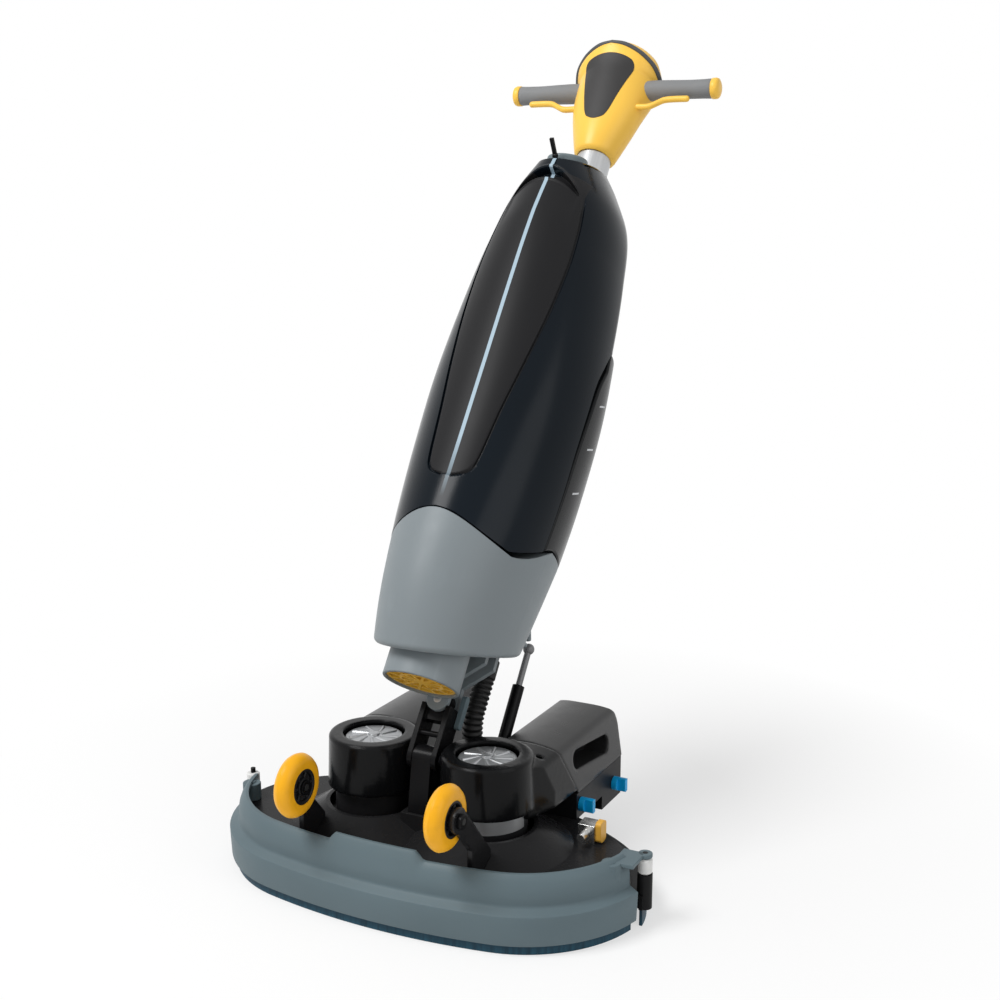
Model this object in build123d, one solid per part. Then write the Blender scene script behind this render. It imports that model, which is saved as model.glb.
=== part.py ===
from build123d import *
import os
from math import atan2, cos, degrees, radians, sin, sqrt, tan

os.makedirs("parts", exist_ok=True)

# A stand-up floor scrubber: a two-brush deck on the floor, and above it, on a tilting and
# leaning yoke, a body with two water tanks, a mast and a handle head.
# Front is -Y, up is +Z, the mid-plane is x = 0, the brush motors stand on y = 0, the floor is z = 0.

# Clearances and general walls
FIT = 0.05
RUN = 0.4
TOUCH = 0.1
SHELL = 3.2

# Deck outline and bumper
HALF_WIDTH = 267.0
FRONT_Y = -144.0
FRONT_R = 740.0
CORNER_R = 156.0
BUMPER_END_Y = -11.0
BUMPER_WALL = 6.0
BUMPER_FOOT_Z = 11.4
CREASE_Z = 46.0
LEDGE_Z = 53.0
RIM_Z = 85.0
FOOT_INSET = 1.5
LEDGE_INSET = 11.0
BULGE_INSET = 13.0
BULGE_Z = 72.0
RIM_INSET = 20.0
LIP_HEIGHT = 10.0
LIP_HALF = 50.0
LIP_STEP = 11.0
BOSS_R = 11.0
BOSS_HOLE_R = 3.5
BOSS_STAND = 4.157
BOSS_SETBACK = 13.0
BOSS_TOP_Z = 76.0
TAB_THICK = 5.0
STRIP_THICK = 3.0
STRIP_HEIGHT = 30.0

# Deck plate, collars and pivot block
PLATE_THICK = 7.0
DECK_Z = LEDGE_Z + PLATE_THICK
DECK_WAIST_Y = -8.0
DECK_REAR_HALF = 244.0
DECK_REAR_DEPTH = 140.0
COLLAR_R = 98.0
COLLAR_TOP_R = 58.0
COLLAR_HEIGHT = 24.0
COLLAR_WALL = 5.0
BLOCK_HALF = 20.0
BLOCK_FRONT_Y = -34.0
BLOCK_REAR_Y = 26.0
BLOCK_TOP_Z = 90.0

# Brush drives
MOTOR_X = 75.0
BRUSH_X = 113.0
BRUSH_R = 110.0
PAD_THICK = 20.0
DISC_THICK = 9.0
DISC_HUB_R = 30.0
SPINDLE_R = 10.0
SPINDLE_TOP_Z = DECK_Z + 9.0
CASING_R = 46.0
CASING_TOP_Z = 107.0
CASING_FOOT_HEIGHT = 12.0
CASING_END_R = 28.0
MOTOR_R = 34.0
MOTOR_TOP_Z = 156.0
FIN_COUNT = 18
FIN_WIDTH = 2.4
FIN_DEPTH = 4.0
COVER_R = 52.5
COVER_FOOT_R = 54.5
COVER_TOP_Z = 167.0
COVER_WALL = 4.5
WINDOW_R = 36.5
WINDOW_LIP = 6.0
COVER_ROUND = 4.0

# Batteries and their trays
BATTERY_IN_X = 57.0
BATTERY_TOP_X = 133.0
BATTERY_OUT_X = 142.0
BATTERY_CROWN_Z = 161.0
BATTERY_EDGE_Z = 153.0
BATTERY_EDGE_R = 10.0
BATTERY_FOOT_Z = 92.0
BATTERY_FRONT_Y = 62.0
BATTERY_TOE_Y = 104.0
BATTERY_REAR_Y = 238.0
BATTERY_BACK_R = 34.0
SHOULDER_FOOT_Z = 97.0
SHOULDER_WALL = 4.0
SHOULDER_IN_Y = 20.0
SHOULDER_OUT_Y = 44.0
SHOULDER_HOLE_R = 4.5
SHOULDER_HOLE = (122.0, 38.0)
SLOT_DEPTH = 26.0
SLOT_HEIGHT = 24.0
SLOT_FROM = (112.0, 130.0)
SLOT_TO = (192.0, 121.0)
TRAY_WALL = 4.0
TRAY_FRONT_Y = 99.0
TRAY_DROP_Y = 176.0
TRAY_DROP_Z = 42.0

# Transport wheels and their arms
WHEEL_X = 93.5
WHEEL_Y = -131.0
WHEEL_Z = 145.0
WHEEL_R = 36.0
WHEEL_WIDTH = 21.0
HUB_R = 20.0
HUB_RIM = 3.5
HUB_SINK = 5.0
AXLE_R = 4.0
BOLT_HEAD_R = 8.0
BOLT_HEAD = 5.0
ARM_THICK = 6.0
ARM_R = 14.0
ARM_FOOT_FRONT_Y = -104.0
ARM_FOOT_REAR_Y = -61.0
ARM_FRONT_RISE = 40.0
ARM_REAR_RISE = 24.0

# Squeegee behind the brushes
SQUEEGEE_HALF = 264.0
SQUEEGEE_REACH = 180.0
SQUEEGEE_DEPTH = 18.0
SQUEEGEE_START_Y = 2.0
SQUEEGEE_TOP_Z = 35.0
SQUEEGEE_FOOT_Z = 18.0
SQUEEGEE_ROOF = 6.0
BLADE_THICK = 3.5
LINK_X = 38.0
LINK_WIDTH = 14.0
LINK_FRONT_Y = 100.0
END_POST_R = 8.5
ROLLER_INSET = 2.0
ROLLER_SETBACK = 10.0
ROLLER_AT = (SQUEEGEE_HALF - ROLLER_INSET, SQUEEGEE_START_Y + ROLLER_SETBACK)
ROLLER_FOOT_Z = 58.0
ROLLER_R = 8.0
ROLLER_HEIGHT = 18.0
ROLLER_PIN_R = 3.0

# Body: tilt about X at the pivot, lean about the body's own front-to-back line
TILT = 36.0
PIVOT_Y = -6.0
PIVOT_Z = 150.0
PIN_R = 6.0
LUG_HALF = 12.4
LUG_R = 14.0
LUG_STEP = 4.0
YOKE_PLATE = 6.0
YOKE_R = 15.0
YOKE_BRIDGE_Z = 42.0
YOKE_ROD_Z = 26.0
YOKE_ROD_R = 3.5
LEAN_Z = 66.0
LEAN_BOSS_R = 12.0
LEAN_BOSS_HALF = 9.0
LEAN_PIN_R = 5.0
EAR_THICK = 7.0
EAR_R = 14.0
BRACKET_HALF = 46.0

# Body stations: height up the body, half width, front and rear reach from the mast line
WAIST_Y = -30.0
STATIONS = (
    (60.0, 69.5, 120.0, 48.5),
    (105.0, 75.7, 134.0, 58.0),
    (150.0, 82.0, 146.0, 68.0),
    (205.0, 89.0, 151.0, 78.5),
    (260.0, 96.5, 151.0, 85.0),
    (345.0, 103.5, 150.0, 83.0),
    (445.0, 107.0, 149.5, 70.0),
    (545.0, 101.0, 149.0, 52.0),
    (630.0, 91.0, 147.0, 44.0),
    (705.0, 76.0, 140.0, 40.0),
    (760.0, 48.0, 128.0, 38.0),
    (800.0, 22.0, 116.0, 36.0),
)
TANK_REARS = (12.0, 12.0, 12.0, 12.0, 12.0, 18.0, 33.0, 36.0, 36.0)
TANK_FIRST = 3
BASE_FOOT_FRONT_Z = 85.0
BASE_FOOT_SLOPE = 0.369
BASE_FOOT_FRONT_Y = -129.0
BASE_FOOT_ROUND = 7.0

# Seam between the base housing and the tanks
SEAM_LOW_Z = 220.0
SEAM_WAVE = ((0.0, 248.5), (24.0, 244.0), (63.0, 228.0), (98.0, 218.0))
SEAM_LOW_Y = -112.0
SEAM_BACK_Z = 257.0
SEAM_BACK_Y = -26.0
SEAM_GAP = 0.4

# Mast, vacuum motor and filter
MAST_R = 23.0
MAST_Y = -27.0
MAST_WALL = 2.5
MAST_TOP_Z = 880.0
MAST_ROOM = 4.0
VACUUM_R = 32.0
VACUUM_Y = -90.0
VACUUM_TOP_Z = 196.0
CUP_R = 45.0
CUP_Y = -64.0
CUP_LIP_Z = 66.0
CUP_WALL = 3.5
GRILLE_THICK = 5.0
GRILLE_RECESS = 3.0
GRILLE_HUB_R = 9.0
GRILLE_RING_R = 26.0
GRILLE_BAR = 3.0
GRILLE_BARS = 12

# Tanks
TANK_TOP_FRONT = (-138.0, 742.0)
TANK_TOP_REAR = (-20.0, 795.0)
REAR_TANK_TOP_Z = 572.0
REAR_TANK_SPLIT_Y = -24.0
REAR_TANK_ROUND = 8.0
PANEL_TOP_Z = 694.0
PANEL_FOOT_Z = 292.0
PANEL_TOP_HALF = 49.0
PANEL_FOOT_HALF = 30.0
PANEL_SIDE = (57.0, 520.0)
GROOVE_WIDTH = 2.4
GROOVE_DEPTH = 1.5
RECESS_Z = 711.0
RECESS_Y = -137.0
RECESS_R = 15.0
RECESS_HALF = 46.0
CAP_FRONT = 20.0
CAP_LENGTH = 62.0
CAP_HALF = 25.0
CAP_THICK = 10.0
CAP_ROUND = 3.5
CAP_BARREL_R = 4.0
CAP_BARREL_HALF = 10.0
LATCH_LENGTH = 24.0
LATCH_HALF = 2.5
LATCH_THICK = 3.5
LATCH_LEAN = 40.0

# Handle head and bar
HEAD_SPLIT_Y = -26.0
HEAD_STATIONS = (
    (822.0, 26.5, 54.0, -2.0),
    (845.0, 34.5, 58.0, 1.0),
    (880.0, 46.0, 61.0, 5.0),
    (925.0, 56.0, 62.0, 9.0),
    (965.0, 64.0, 62.0, 11.0),
    (1000.0, 64.0, 54.0, 9.0),
    (1042.0, 60.0, 38.0, 2.0),
)
HEAD_FACE_SHARE = 0.7
HEAD_REAR_SHARE = 0.6
HEAD_CORNER = 0.2
HEAD_ARCH = ((65.0, 957.0), (60.0, 981.0), (40.0, 1006.0), (0.0, 1021.0))
HEAD_REAR_RISE = 1.5
GASKET_THICK = 5.0
GASKET_FOOT_Z = 948.0
GASKET_PROUD = 1.6
INSERT_TOP_Z = 978.0
INSERT_FOOT_Z = 870.0
INSERT_TOP_HALF = 37.0
INSERT_FOOT_HALF = 18.0
INSERT_THICK = 2.0
INSERT_ROUND = 9.0
BAR_Z = 936.0
BAR_Y = -27.0
BAR_R = 9.0
GRIP_R = 12.6
GRIP_START = 63.0
GRIP_END = 140.0
END_CAP_R = 13.6
END_CAP_LENGTH = 11.0
TRIGGER_R = 4.2
TRIGGER_X = 28.0
TRIGGER_EYE_R = 7.0
TRIGGER_PIN_R = 3.0
TRIGGER_Z = 902.0
TRIGGER_Y = -38.0
TRIGGER_END_X = 117.0
TRIGGER_RISE = 9.0
TRIGGER_STEP = (64.0, 81.0)
TRIGGER_PLAY = 4.0

# Strut between the deck and the back of the base housing
STRUT_X = 45.5
STRUT_Y = 89.0
STRUT_LOW_Z = 10.0
STRUT_TOP_Z = 172.0
STRUT_CYLINDER_R = 7.5
STRUT_NECK_R = 5.0
STRUT_CYLINDER_TOP_Z = 124.0
STRUT_ROD_R = 4.0
STRUT_ROD_FOOT_Z = 52.0
STRUT_EYE_R = 9.0
STRUT_EYE_HALF = 5.5
STRUT_PIN_R = 4.0
STRUT_BALL_R = 7.0
STRUT_BALL_GAP = 7.0
POST_PLATE = 4.5

# Suction hose, its spigots and the duct on the deck
HOSE_X = 21.0
HOSE_Y = 44.0
HOSE_TOP_Z = 138.0
HOSE_R = 12.5
HOSE_ROOT_R = 10.5
HOSE_BORE_R = 8.5
HOSE_BEND_R = 90.0
HOSE_END = 25.0
HOSE_RIBS = 16
DUCT_SPIGOT_Z = 100.0
DUCT_HALF = 13.0
DUCT_TOP_Z = 82.0
DUCT_WALL = 3.0

# Small controls
KNOB_R = 8.5
KNOB_LENGTH = 17.0
KNOB_NECK_R = 4.0
KNOB_NECK = 6.0
KNOB_PLACES = (("front", 110.0, 76.0), ("rear", 212.0, 64.0))
VALVE_X = 177.0
VALVE_Y = 56.0
VALVE_HALF = 10.0
VALVE_HEIGHT = 22.0
FITTING_R = 5.0
FITTING_LENGTH = 16.0
STEM_Z = 72.0
PADDLE_DROP = 10.5
PADDLE_RISE = 14.0
PADDLE_HALF = 8.0
PADDLE_THICK = 7.0
LOCK_Y = 10.0
LOCK_Z = 44.0
LOCK_LENGTH = 36.0
LOCK_HALF = 4.5
LOCK_THICK = 6.0

# Frame of the tilted body, a length past everything, and the middle of the whole from front to back
UP_BODY = (0, sin(radians(TILT)), cos(radians(TILT)))
BODY = Location(Plane((0, PIVOT_Y, PIVOT_Z), x_dir=(1, 0, 0), z_dir=UP_BODY))
BIG = 900.0
CENTRE_Y = 216.2


def outline_face(points, radius=0.0):
    """A closed outline through the points, with its corners rounded where a radius is given."""
    face = make_face(Polyline(*points, close=True))
    if radius:
        face = fillet(face.vertices(), radius)
    return face


def along_x(face, x0, x1):
    """A prism from x0 to x1 of an outline given as (y, z)."""
    return Pos(x0, 0, 0) * extrude(Plane.YZ * face, x1 - x0)


def along_y(face, y0, y1):
    """A prism from y0 to y1 of an outline given as (x, z)."""
    return Pos(0, y1, 0) * extrude(Plane.XZ * face, y1 - y0)


def along_z(face, z0, z1):
    """A prism from z0 to z1 of an outline given as (x, y)."""
    return Pos(0, 0, z0) * extrude(face, z1 - z0)


def post(x, y, radius, z0, z1):
    """An upright cylinder."""
    return Pos(x, y, (z0 + z1) / 2) * Cylinder(radius, z1 - z0)


def pin_x(y, z, radius, x0, x1):
    """A cylinder along X."""
    return Pos((x0 + x1) / 2, y, z) * Rot(0, 90, 0) * Cylinder(radius, x1 - x0)


def pin_y(x, z, radius, y0, y1):
    """A cylinder along Y."""
    return Pos(x, (y0 + y1) / 2, z) * Rot(90, 0, 0) * Cylinder(radius, y1 - y0)


def block(x0, x1, y0, y1, z0, z1):
    """A box from corner to corner."""
    return Pos((x0 + x1) / 2, (y0 + y1) / 2, (z0 + z1) / 2) * Box(x1 - x0, y1 - y0, z1 - z0)


def mirrored(shape):
    """The same piece on the other side of the mid-plane."""
    return mirror(shape, about=Plane.YZ)


# Deck


def corner_centre():
    """Centre of the deck's right corner, round which the front arc runs on into the side."""
    x = HALF_WIDTH - CORNER_R
    return x, FRONT_Y + FRONT_R - sqrt((FRONT_R - CORNER_R) ** 2 - x**2)


def deck_outline(inset, z):
    """The deck's plan: a flat front arc, round corners and straight sides, drawn in by the inset."""
    centre_y = FRONT_Y + FRONT_R
    corner_x, corner_y = corner_centre()
    share = (FRONT_R - inset) / (FRONT_R - CORNER_R)
    meet = (corner_x * share, centre_y + (corner_y - centre_y) * share)
    half_turn = atan2(corner_y - centre_y, corner_x) / 2
    corner = CORNER_R - inset
    middle = (corner_x + corner * cos(half_turn), corner_y + corner * sin(half_turn))
    side = HALF_WIDTH - inset
    edges = [
        ThreePointArc((-meet[0], meet[1]), (0, FRONT_Y + inset), meet),
        ThreePointArc(meet, middle, (side, corner_y)),
        Line((side, corner_y), (-side, corner_y)),
        ThreePointArc((-side, corner_y), (-middle[0], middle[1]), (-meet[0], meet[1])),
    ]
    return Pos(0, 0, z) * make_face(edges)


def rim_slope(z):
    """Inset of the bumper's upper wall at a height between the ledge and its bulge."""
    return LEDGE_INSET + (BULGE_INSET - LEDGE_INSET) * (z - LEDGE_Z) / (BULGE_Z - LEDGE_Z)


def boss_place():
    """Centre of the right boss: set back from the bumper's end, and off the inner face of its corner."""
    y = BUMPER_END_Y - BOSS_SETBACK
    corner_x, corner_y = corner_centre()
    corner = CORNER_R - rim_slope(DECK_Z) - BUMPER_WALL
    return corner_x + sqrt(corner**2 - (y - corner_y) ** 2) - BOSS_STAND, y


def behind(y):
    """Everything behind a plane across the deck."""
    return block(-BIG, BIG, y, BIG, -BIG, BIG)


def front_bumper():
    levels = ((FOOT_INSET, BUMPER_FOOT_Z), (0.0, CREASE_Z), (LEDGE_INSET, LEDGE_Z))
    levels += ((BULGE_INSET, BULGE_Z), (RIM_INSET, RIM_Z))
    outer = loft([deck_outline(inset, z) for inset, z in levels], ruled=True)
    inner = loft([deck_outline(inset + BUMPER_WALL, z) for inset, z in levels], ruled=True)
    lip_outer = along_z(deck_outline(RIM_INSET, 0), RIM_Z, RIM_Z + LIP_HEIGHT)
    lip_inner = along_z(deck_outline(RIM_INSET + BUMPER_WALL, 0), RIM_Z, RIM_Z + LIP_HEIGHT)
    top = RIM_Z + LIP_HEIGHT
    foot = LIP_HALF + LIP_STEP
    lip_face = outline_face([(-LIP_HALF, top), (LIP_HALF, top), (foot, RIM_Z), (-foot, RIM_Z)])
    bumper = (outer - inner) + ((lip_outer - lip_inner) & along_y(lip_face, FRONT_Y, 0))
    bumper -= behind(BUMPER_END_Y)
    tab_z = roller_top_z() + RUN
    boss_x, boss_y = boss_place()
    for side in (-1, 1):
        bumper += post(side * boss_x, boss_y, BOSS_R, DECK_Z, BOSS_TOP_Z)
    x, y = ROLLER_AT
    bumper += post(x, y, ROLLER_R, tab_z, tab_z + TAB_THICK)
    bumper += block(min(boss_x, x), max(boss_x, x), boss_y, y, tab_z, tab_z + TAB_THICK)
    for side in (-1, 1):
        bumper -= post(side * boss_x, boss_y, BOSS_HOLE_R, DECK_Z + BUMPER_WALL, tab_z + TAB_THICK)
    return bumper - post(x, y, ROLLER_PIN_R + TOUCH, tab_z, tab_z + TAB_THICK)


def splash_strip():
    inset = FOOT_INSET + BUMPER_WALL
    strip = deck_outline(inset, 0) - deck_outline(inset + STRIP_THICK, 0)
    return extrude(strip, STRIP_HEIGHT) - behind(BUMPER_END_Y)


def collar(side, shrink):
    """A cone collar under a motor, or the hollow inside it."""
    cone = Cone(COLLAR_R - shrink, COLLAR_TOP_R - shrink, COLLAR_HEIGHT)
    return Pos(side * MOTOR_X, 0, DECK_Z + COLLAR_HEIGHT / 2) * cone


def deck_plate():
    low = deck_outline(LEDGE_INSET + BUMPER_WALL + TOUCH, LEDGE_Z)
    high = deck_outline(rim_slope(DECK_Z) + BUMPER_WALL + TOUCH, DECK_Z)
    plate = loft([low, high], ruled=True) - behind(BUMPER_END_Y)
    rear = Pos(0, DECK_WAIST_Y) * Ellipse(DECK_REAR_HALF, DECK_REAR_DEPTH)
    deck = plate + (along_z(rear, LEDGE_Z, DECK_Z) & behind(BUMPER_END_Y))
    for side in (-1, 1):
        deck += collar(side, 0)
    for side in (-1, 1):
        deck -= collar(side, COLLAR_WALL)
    deck += block(-BLOCK_HALF, BLOCK_HALF, BLOCK_FRONT_Y, BLOCK_REAR_Y, LEDGE_Z, BLOCK_TOP_Z)
    inner = arm_inner_x()
    outer = inner + ARM_THICK + TOUCH
    foot = block(inner - TOUCH, outer, ARM_FOOT_FRONT_Y - BIG, ARM_FOOT_REAR_Y + TOUCH, DECK_Z, BIG)
    for side in (-1, 1):
        deck -= post(side * BRUSH_X, 0, SPINDLE_R + RUN, LEDGE_Z, DECK_Z)
        deck -= foot if side > 0 else mirrored(foot)
    return deck


def brush_motor():
    """Gear casing on the deck with the motor can standing on it, its end ribbed like a fan."""
    casing = post(MOTOR_X, 0, CASING_R, DECK_Z, CASING_TOP_Z)
    casing += post(BRUSH_X, 0, CASING_END_R, DECK_Z, DECK_Z + CASING_FOOT_HEIGHT)
    casing -= post(BRUSH_X, 0, SPINDLE_R + FIT, DECK_Z, SPINDLE_TOP_Z + RUN)
    can = post(MOTOR_X, 0, MOTOR_R, CASING_TOP_Z, MOTOR_TOP_Z)
    hub = MOTOR_R / 4
    half = FIN_WIDTH / 2
    cut = block(hub, MOTOR_R - FIN_WIDTH, -half, half, MOTOR_TOP_Z - FIN_DEPTH, MOTOR_TOP_Z)
    fins = [Pos(MOTOR_X, 0, 0) * Rot(0, 0, 360 / FIN_COUNT * i) * cut for i in range(FIN_COUNT)]
    can -= fins
    return Compound(children=[casing.solid(), can.solid()])


def seam_line():
    """Front face of the battery, from its top edge down to its toe, as (y, z) points."""
    return (BATTERY_FRONT_Y, BATTERY_CROWN_Z + 2), (BATTERY_TOE_Y, BATTERY_FOOT_Z)


def crowned(inset, foot_z):
    """Section shared by the battery and the cover's shoulder: a crowned top and a drafted outer side."""
    left, right = BATTERY_IN_X + inset, BATTERY_TOP_X - inset
    edge, crown = BATTERY_EDGE_Z - inset, BATTERY_CROWN_Z - inset
    foot = (BATTERY_OUT_X - inset, foot_z)
    edges = [
        Line((left, foot_z), (left, edge)),
        ThreePointArc((left, edge), ((left + right) / 2, crown), (right, edge)),
        Line((right, edge), foot),
        Line(foot, (left, foot_z)),
    ]
    face = make_face(edges)
    corners = [v for v in face.vertices() if abs(v.Y - edge) < TOUCH]
    return fillet(corners, BATTERY_EDGE_R - inset)


def shoulder(inset):
    """The cover's shoulder from the tower back to the battery, or the hollow under it."""
    (front_y, top_z), (toe_y, foot_z) = seam_line()
    low = SHOULDER_FOOT_Z - inset
    form = along_y(crowned(inset, low), 0, toe_y)
    plan = [(BATTERY_IN_X, SHOULDER_IN_Y), (MOTOR_X, 0), (MOTOR_X + COVER_R - 2 - inset, 0)]
    plan += [(BATTERY_OUT_X - 3 - inset, SHOULDER_OUT_Y)]
    plan += [(BATTERY_OUT_X - inset, toe_y), (BATTERY_IN_X, toe_y)]
    form &= along_z(outline_face(plan), low, top_z)
    slope = (toe_y - front_y) / (top_z - foot_z)
    gap = RUN * 1.2 + inset
    rear = [(0, low), (toe_y - (low - foot_z) * slope - gap, low), (front_y - gap, top_z), (0, top_z)]
    return form & along_x(outline_face(rear), 0, BATTERY_OUT_X)


def motor_cover():
    """Round tower with a window over the motor, and the shoulder that meets the battery."""
    height = COVER_TOP_Z - CASING_TOP_Z
    tower = Pos(MOTOR_X, 0, (CASING_TOP_Z + COVER_TOP_Z) / 2) * Cone(COVER_FOOT_R, COVER_R, height)
    tower = fillet(tower.edges().sort_by(Axis.Z)[-1], COVER_ROUND)
    below = post(MOTOR_X, 0, CASING_R + RUN, 0, CASING_TOP_Z)
    cover = tower + (shoulder(0) - below)
    cover -= post(MOTOR_X, 0, COVER_R - COVER_WALL, CASING_TOP_Z + COVER_WALL, COVER_TOP_Z - WINDOW_LIP)
    cover -= post(MOTOR_X, 0, CASING_R - COVER_WALL, CASING_TOP_Z, CASING_TOP_Z + COVER_WALL)
    cover -= post(MOTOR_X, 0, WINDOW_R, COVER_TOP_Z - WINDOW_LIP, BIG)
    cover -= shoulder(SHOULDER_WALL) - post(MOTOR_X, 0, COVER_FOOT_R, 0, BIG)
    return cover - post(*SHOULDER_HOLE, SHOULDER_HOLE_R, BATTERY_EDGE_Z - SHOULDER_WALL, BIG)


def battery():
    """Battery case with a sloped front, a round back and a hand slot in its outer side."""
    (front_y, top_z), (toe_y, foot_z) = seam_line()
    rear = BATTERY_REAR_Y
    side = outline_face([(front_y, top_z), (rear, top_z), (rear, foot_z), (toe_y, foot_z)])
    side = fillet(side.vertices().sort_by(Axis.X)[-2:].sort_by(Axis.Y)[-1], BATTERY_BACK_R)
    case = along_y(crowned(0, foot_z), front_y, rear) & along_x(side, 0, BATTERY_OUT_X)
    run = (SLOT_TO[0] - SLOT_FROM[0], SLOT_TO[1] - SLOT_FROM[1])
    length = sqrt(run[0] ** 2 + run[1] ** 2) + SLOT_HEIGHT
    middle = ((SLOT_FROM[0] + SLOT_TO[0]) / 2, (SLOT_FROM[1] + SLOT_TO[1]) / 2)
    slot = Pos(*middle) * Rot(0, 0, degrees(atan2(run[1], run[0]))) * SlotOverall(length, SLOT_HEIGHT)
    return case - along_x(slot, BATTERY_TOP_X - SLOT_DEPTH, BATTERY_OUT_X)


def battery_tray():
    """Open tray that the battery slides over: it stands on the deck and drops behind it."""
    top = BATTERY_FOOT_Z - RUN
    forms = []
    for wall in (0.0, TRAY_WALL):
        left, right, rear = BATTERY_IN_X + wall, BATTERY_OUT_X - wall, BATTERY_REAR_Y - 2 - wall
        form = block(left, right, TRAY_FRONT_Y + wall, rear, DECK_Z + wall, top)
        form += block(left, right, TRAY_DROP_Y + wall, rear, TRAY_DROP_Z + wall, top)
        forms.append(form)
    tray = forms[0] - forms[1]
    for name, y, z in KNOB_PLACES:
        tray -= pin_x(y, z, KNOB_NECK_R + FIT, BATTERY_OUT_X - TRAY_WALL, BATTERY_OUT_X)
    return tray


def brush_disc():
    """Driver disc with its spindle, which turns in the gear casing."""
    disc = post(BRUSH_X, 0, BRUSH_R, PAD_THICK, PAD_THICK + DISC_THICK)
    disc += post(BRUSH_X, 0, DISC_HUB_R, PAD_THICK + DISC_THICK, LEDGE_Z - RUN * 4)
    return disc + post(BRUSH_X, 0, SPINDLE_R, PAD_THICK, SPINDLE_TOP_Z)


def scrub_pad():
    return post(BRUSH_X, 0, BRUSH_R, 0, PAD_THICK)


def arm_inner_x():
    return WHEEL_X + WHEEL_WIDTH / 2 + RUN * 2


def wheel_arm():
    """Flat arm from the deck up to the wheel's axle, on the outer side of the wheel."""
    inner = arm_inner_x()
    front, rear = ARM_FOOT_FRONT_Y, ARM_FOOT_REAR_Y
    profile = [(front, DECK_Z), (rear, DECK_Z), (rear, DECK_Z + ARM_REAR_RISE)]
    profile += [(WHEEL_Y + ARM_R, WHEEL_Z + ARM_R / 3), (WHEEL_Y - ARM_R, WHEEL_Z)]
    profile += [(front, DECK_Z + ARM_FRONT_RISE)]
    arm = along_x(outline_face(profile), inner, inner + ARM_THICK)
    arm += pin_x(WHEEL_Y, WHEEL_Z, ARM_R, inner, inner + ARM_THICK)
    return arm - pin_x(WHEEL_Y, WHEEL_Z, AXLE_R + FIT, inner, inner + ARM_THICK)


def wheel_bolt():
    """Axle bolt with its head outside the arm and a thin head on the wheel's free side."""
    outer = arm_inner_x() + ARM_THICK
    inner = WHEEL_X - WHEEL_WIDTH / 2 - RUN
    bolt = pin_x(WHEEL_Y, WHEEL_Z, AXLE_R, inner, outer)
    bolt += pin_x(WHEEL_Y, WHEEL_Z, BOLT_HEAD_R, outer, outer + BOLT_HEAD)
    return bolt + pin_x(WHEEL_Y, WHEEL_Z, BOLT_HEAD_R, inner - BOLT_HEAD / 2, inner)


def wheel_tyre():
    """Round-tread tyre on the hub."""
    half = WHEEL_WIDTH / 2
    crown = (WHEEL_R - HUB_R) * 0.62
    profile = make_face(
        [
            Line((-half, HUB_R), (half, HUB_R)),
            Line((half, HUB_R), (half, WHEEL_R - crown)),
            ThreePointArc((half, WHEEL_R - crown), (0, WHEEL_R), (-half, WHEEL_R - crown)),
            Line((-half, WHEEL_R - crown), (-half, HUB_R)),
        ]
    )
    return Pos(WHEEL_X, WHEEL_Y, WHEEL_Z) * revolve(profile, Axis.X)


def wheel_hub():
    """Hub with a sunk web on both sides and the bore for the axle bolt."""
    half = WHEEL_WIDTH / 2
    hub = pin_x(WHEEL_Y, WHEEL_Z, HUB_R, WHEEL_X - half, WHEEL_X + half)
    for end in (-1, 1):
        face = WHEEL_X + end * half
        deep = face - end * HUB_SINK
        sunk = pin_x(WHEEL_Y, WHEEL_Z, HUB_R - HUB_RIM, min(face, deep), max(face, deep))
        hub -= sunk - pin_x(WHEEL_Y, WHEEL_Z, BOLT_HEAD_R + 2, WHEEL_X - BIG, WHEEL_X + BIG)
    return hub - pin_x(WHEEL_Y, WHEEL_Z, AXLE_R + FIT, WHEEL_X - half, WHEEL_X + half)


# Squeegee


def squeegee_band(outset, inset, z0, z1):
    """A band along the squeegee's curve between two insets from its outer edge, open to the front."""
    outer = Ellipse(SQUEEGEE_HALF - outset, SQUEEGEE_REACH - outset)
    inner = Ellipse(SQUEEGEE_HALF - inset, SQUEEGEE_REACH - inset)
    return along_z(Pos(0, DECK_WAIST_Y) * (outer - inner), z0, z1) & behind(SQUEEGEE_START_Y)


def roller_top_z():
    return ROLLER_FOOT_Z + RUN + ROLLER_HEIGHT


def squeegee_frame():
    """Curved channel over both blades, with two links under the deck, end posts and roller pins."""
    frame = squeegee_band(0, SQUEEGEE_DEPTH, SQUEEGEE_FOOT_Z, SQUEEGEE_TOP_Z)
    lip = BLADE_THICK + 1
    frame -= squeegee_band(lip, SQUEEGEE_DEPTH - lip, SQUEEGEE_FOOT_Z, SQUEEGEE_TOP_Z - SQUEEGEE_ROOF)
    rear = DECK_WAIST_Y + SQUEEGEE_REACH
    near = rear - SQUEEGEE_DEPTH + lip
    for x in (LINK_X, -LINK_X - LINK_WIDTH):
        frame += block(x, x + LINK_WIDTH, near, rear - lip, SQUEEGEE_TOP_Z - SQUEEGEE_ROOF, LEDGE_Z)
        frame += block(x, x + LINK_WIDTH, LINK_FRONT_Y, rear - lip, LEDGE_Z - SQUEEGEE_ROOF, LEDGE_Z)
    for side in (-1, 1):
        x, y = side * ROLLER_AT[0], ROLLER_AT[1]
        frame += post(x, y, END_POST_R, SQUEEGEE_FOOT_Z, ROLLER_FOOT_Z)
        frame += post(x, y, ROLLER_PIN_R, ROLLER_FOOT_Z, roller_top_z() + RUN + TAB_THICK)
    port = DUCT_HALF - DUCT_WALL * 2
    far = duct_leg()[1] - DUCT_WALL * 2
    return frame - block(HOSE_X - port, HOSE_X + port, near, far, 0, SQUEEGEE_TOP_Z)


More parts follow.
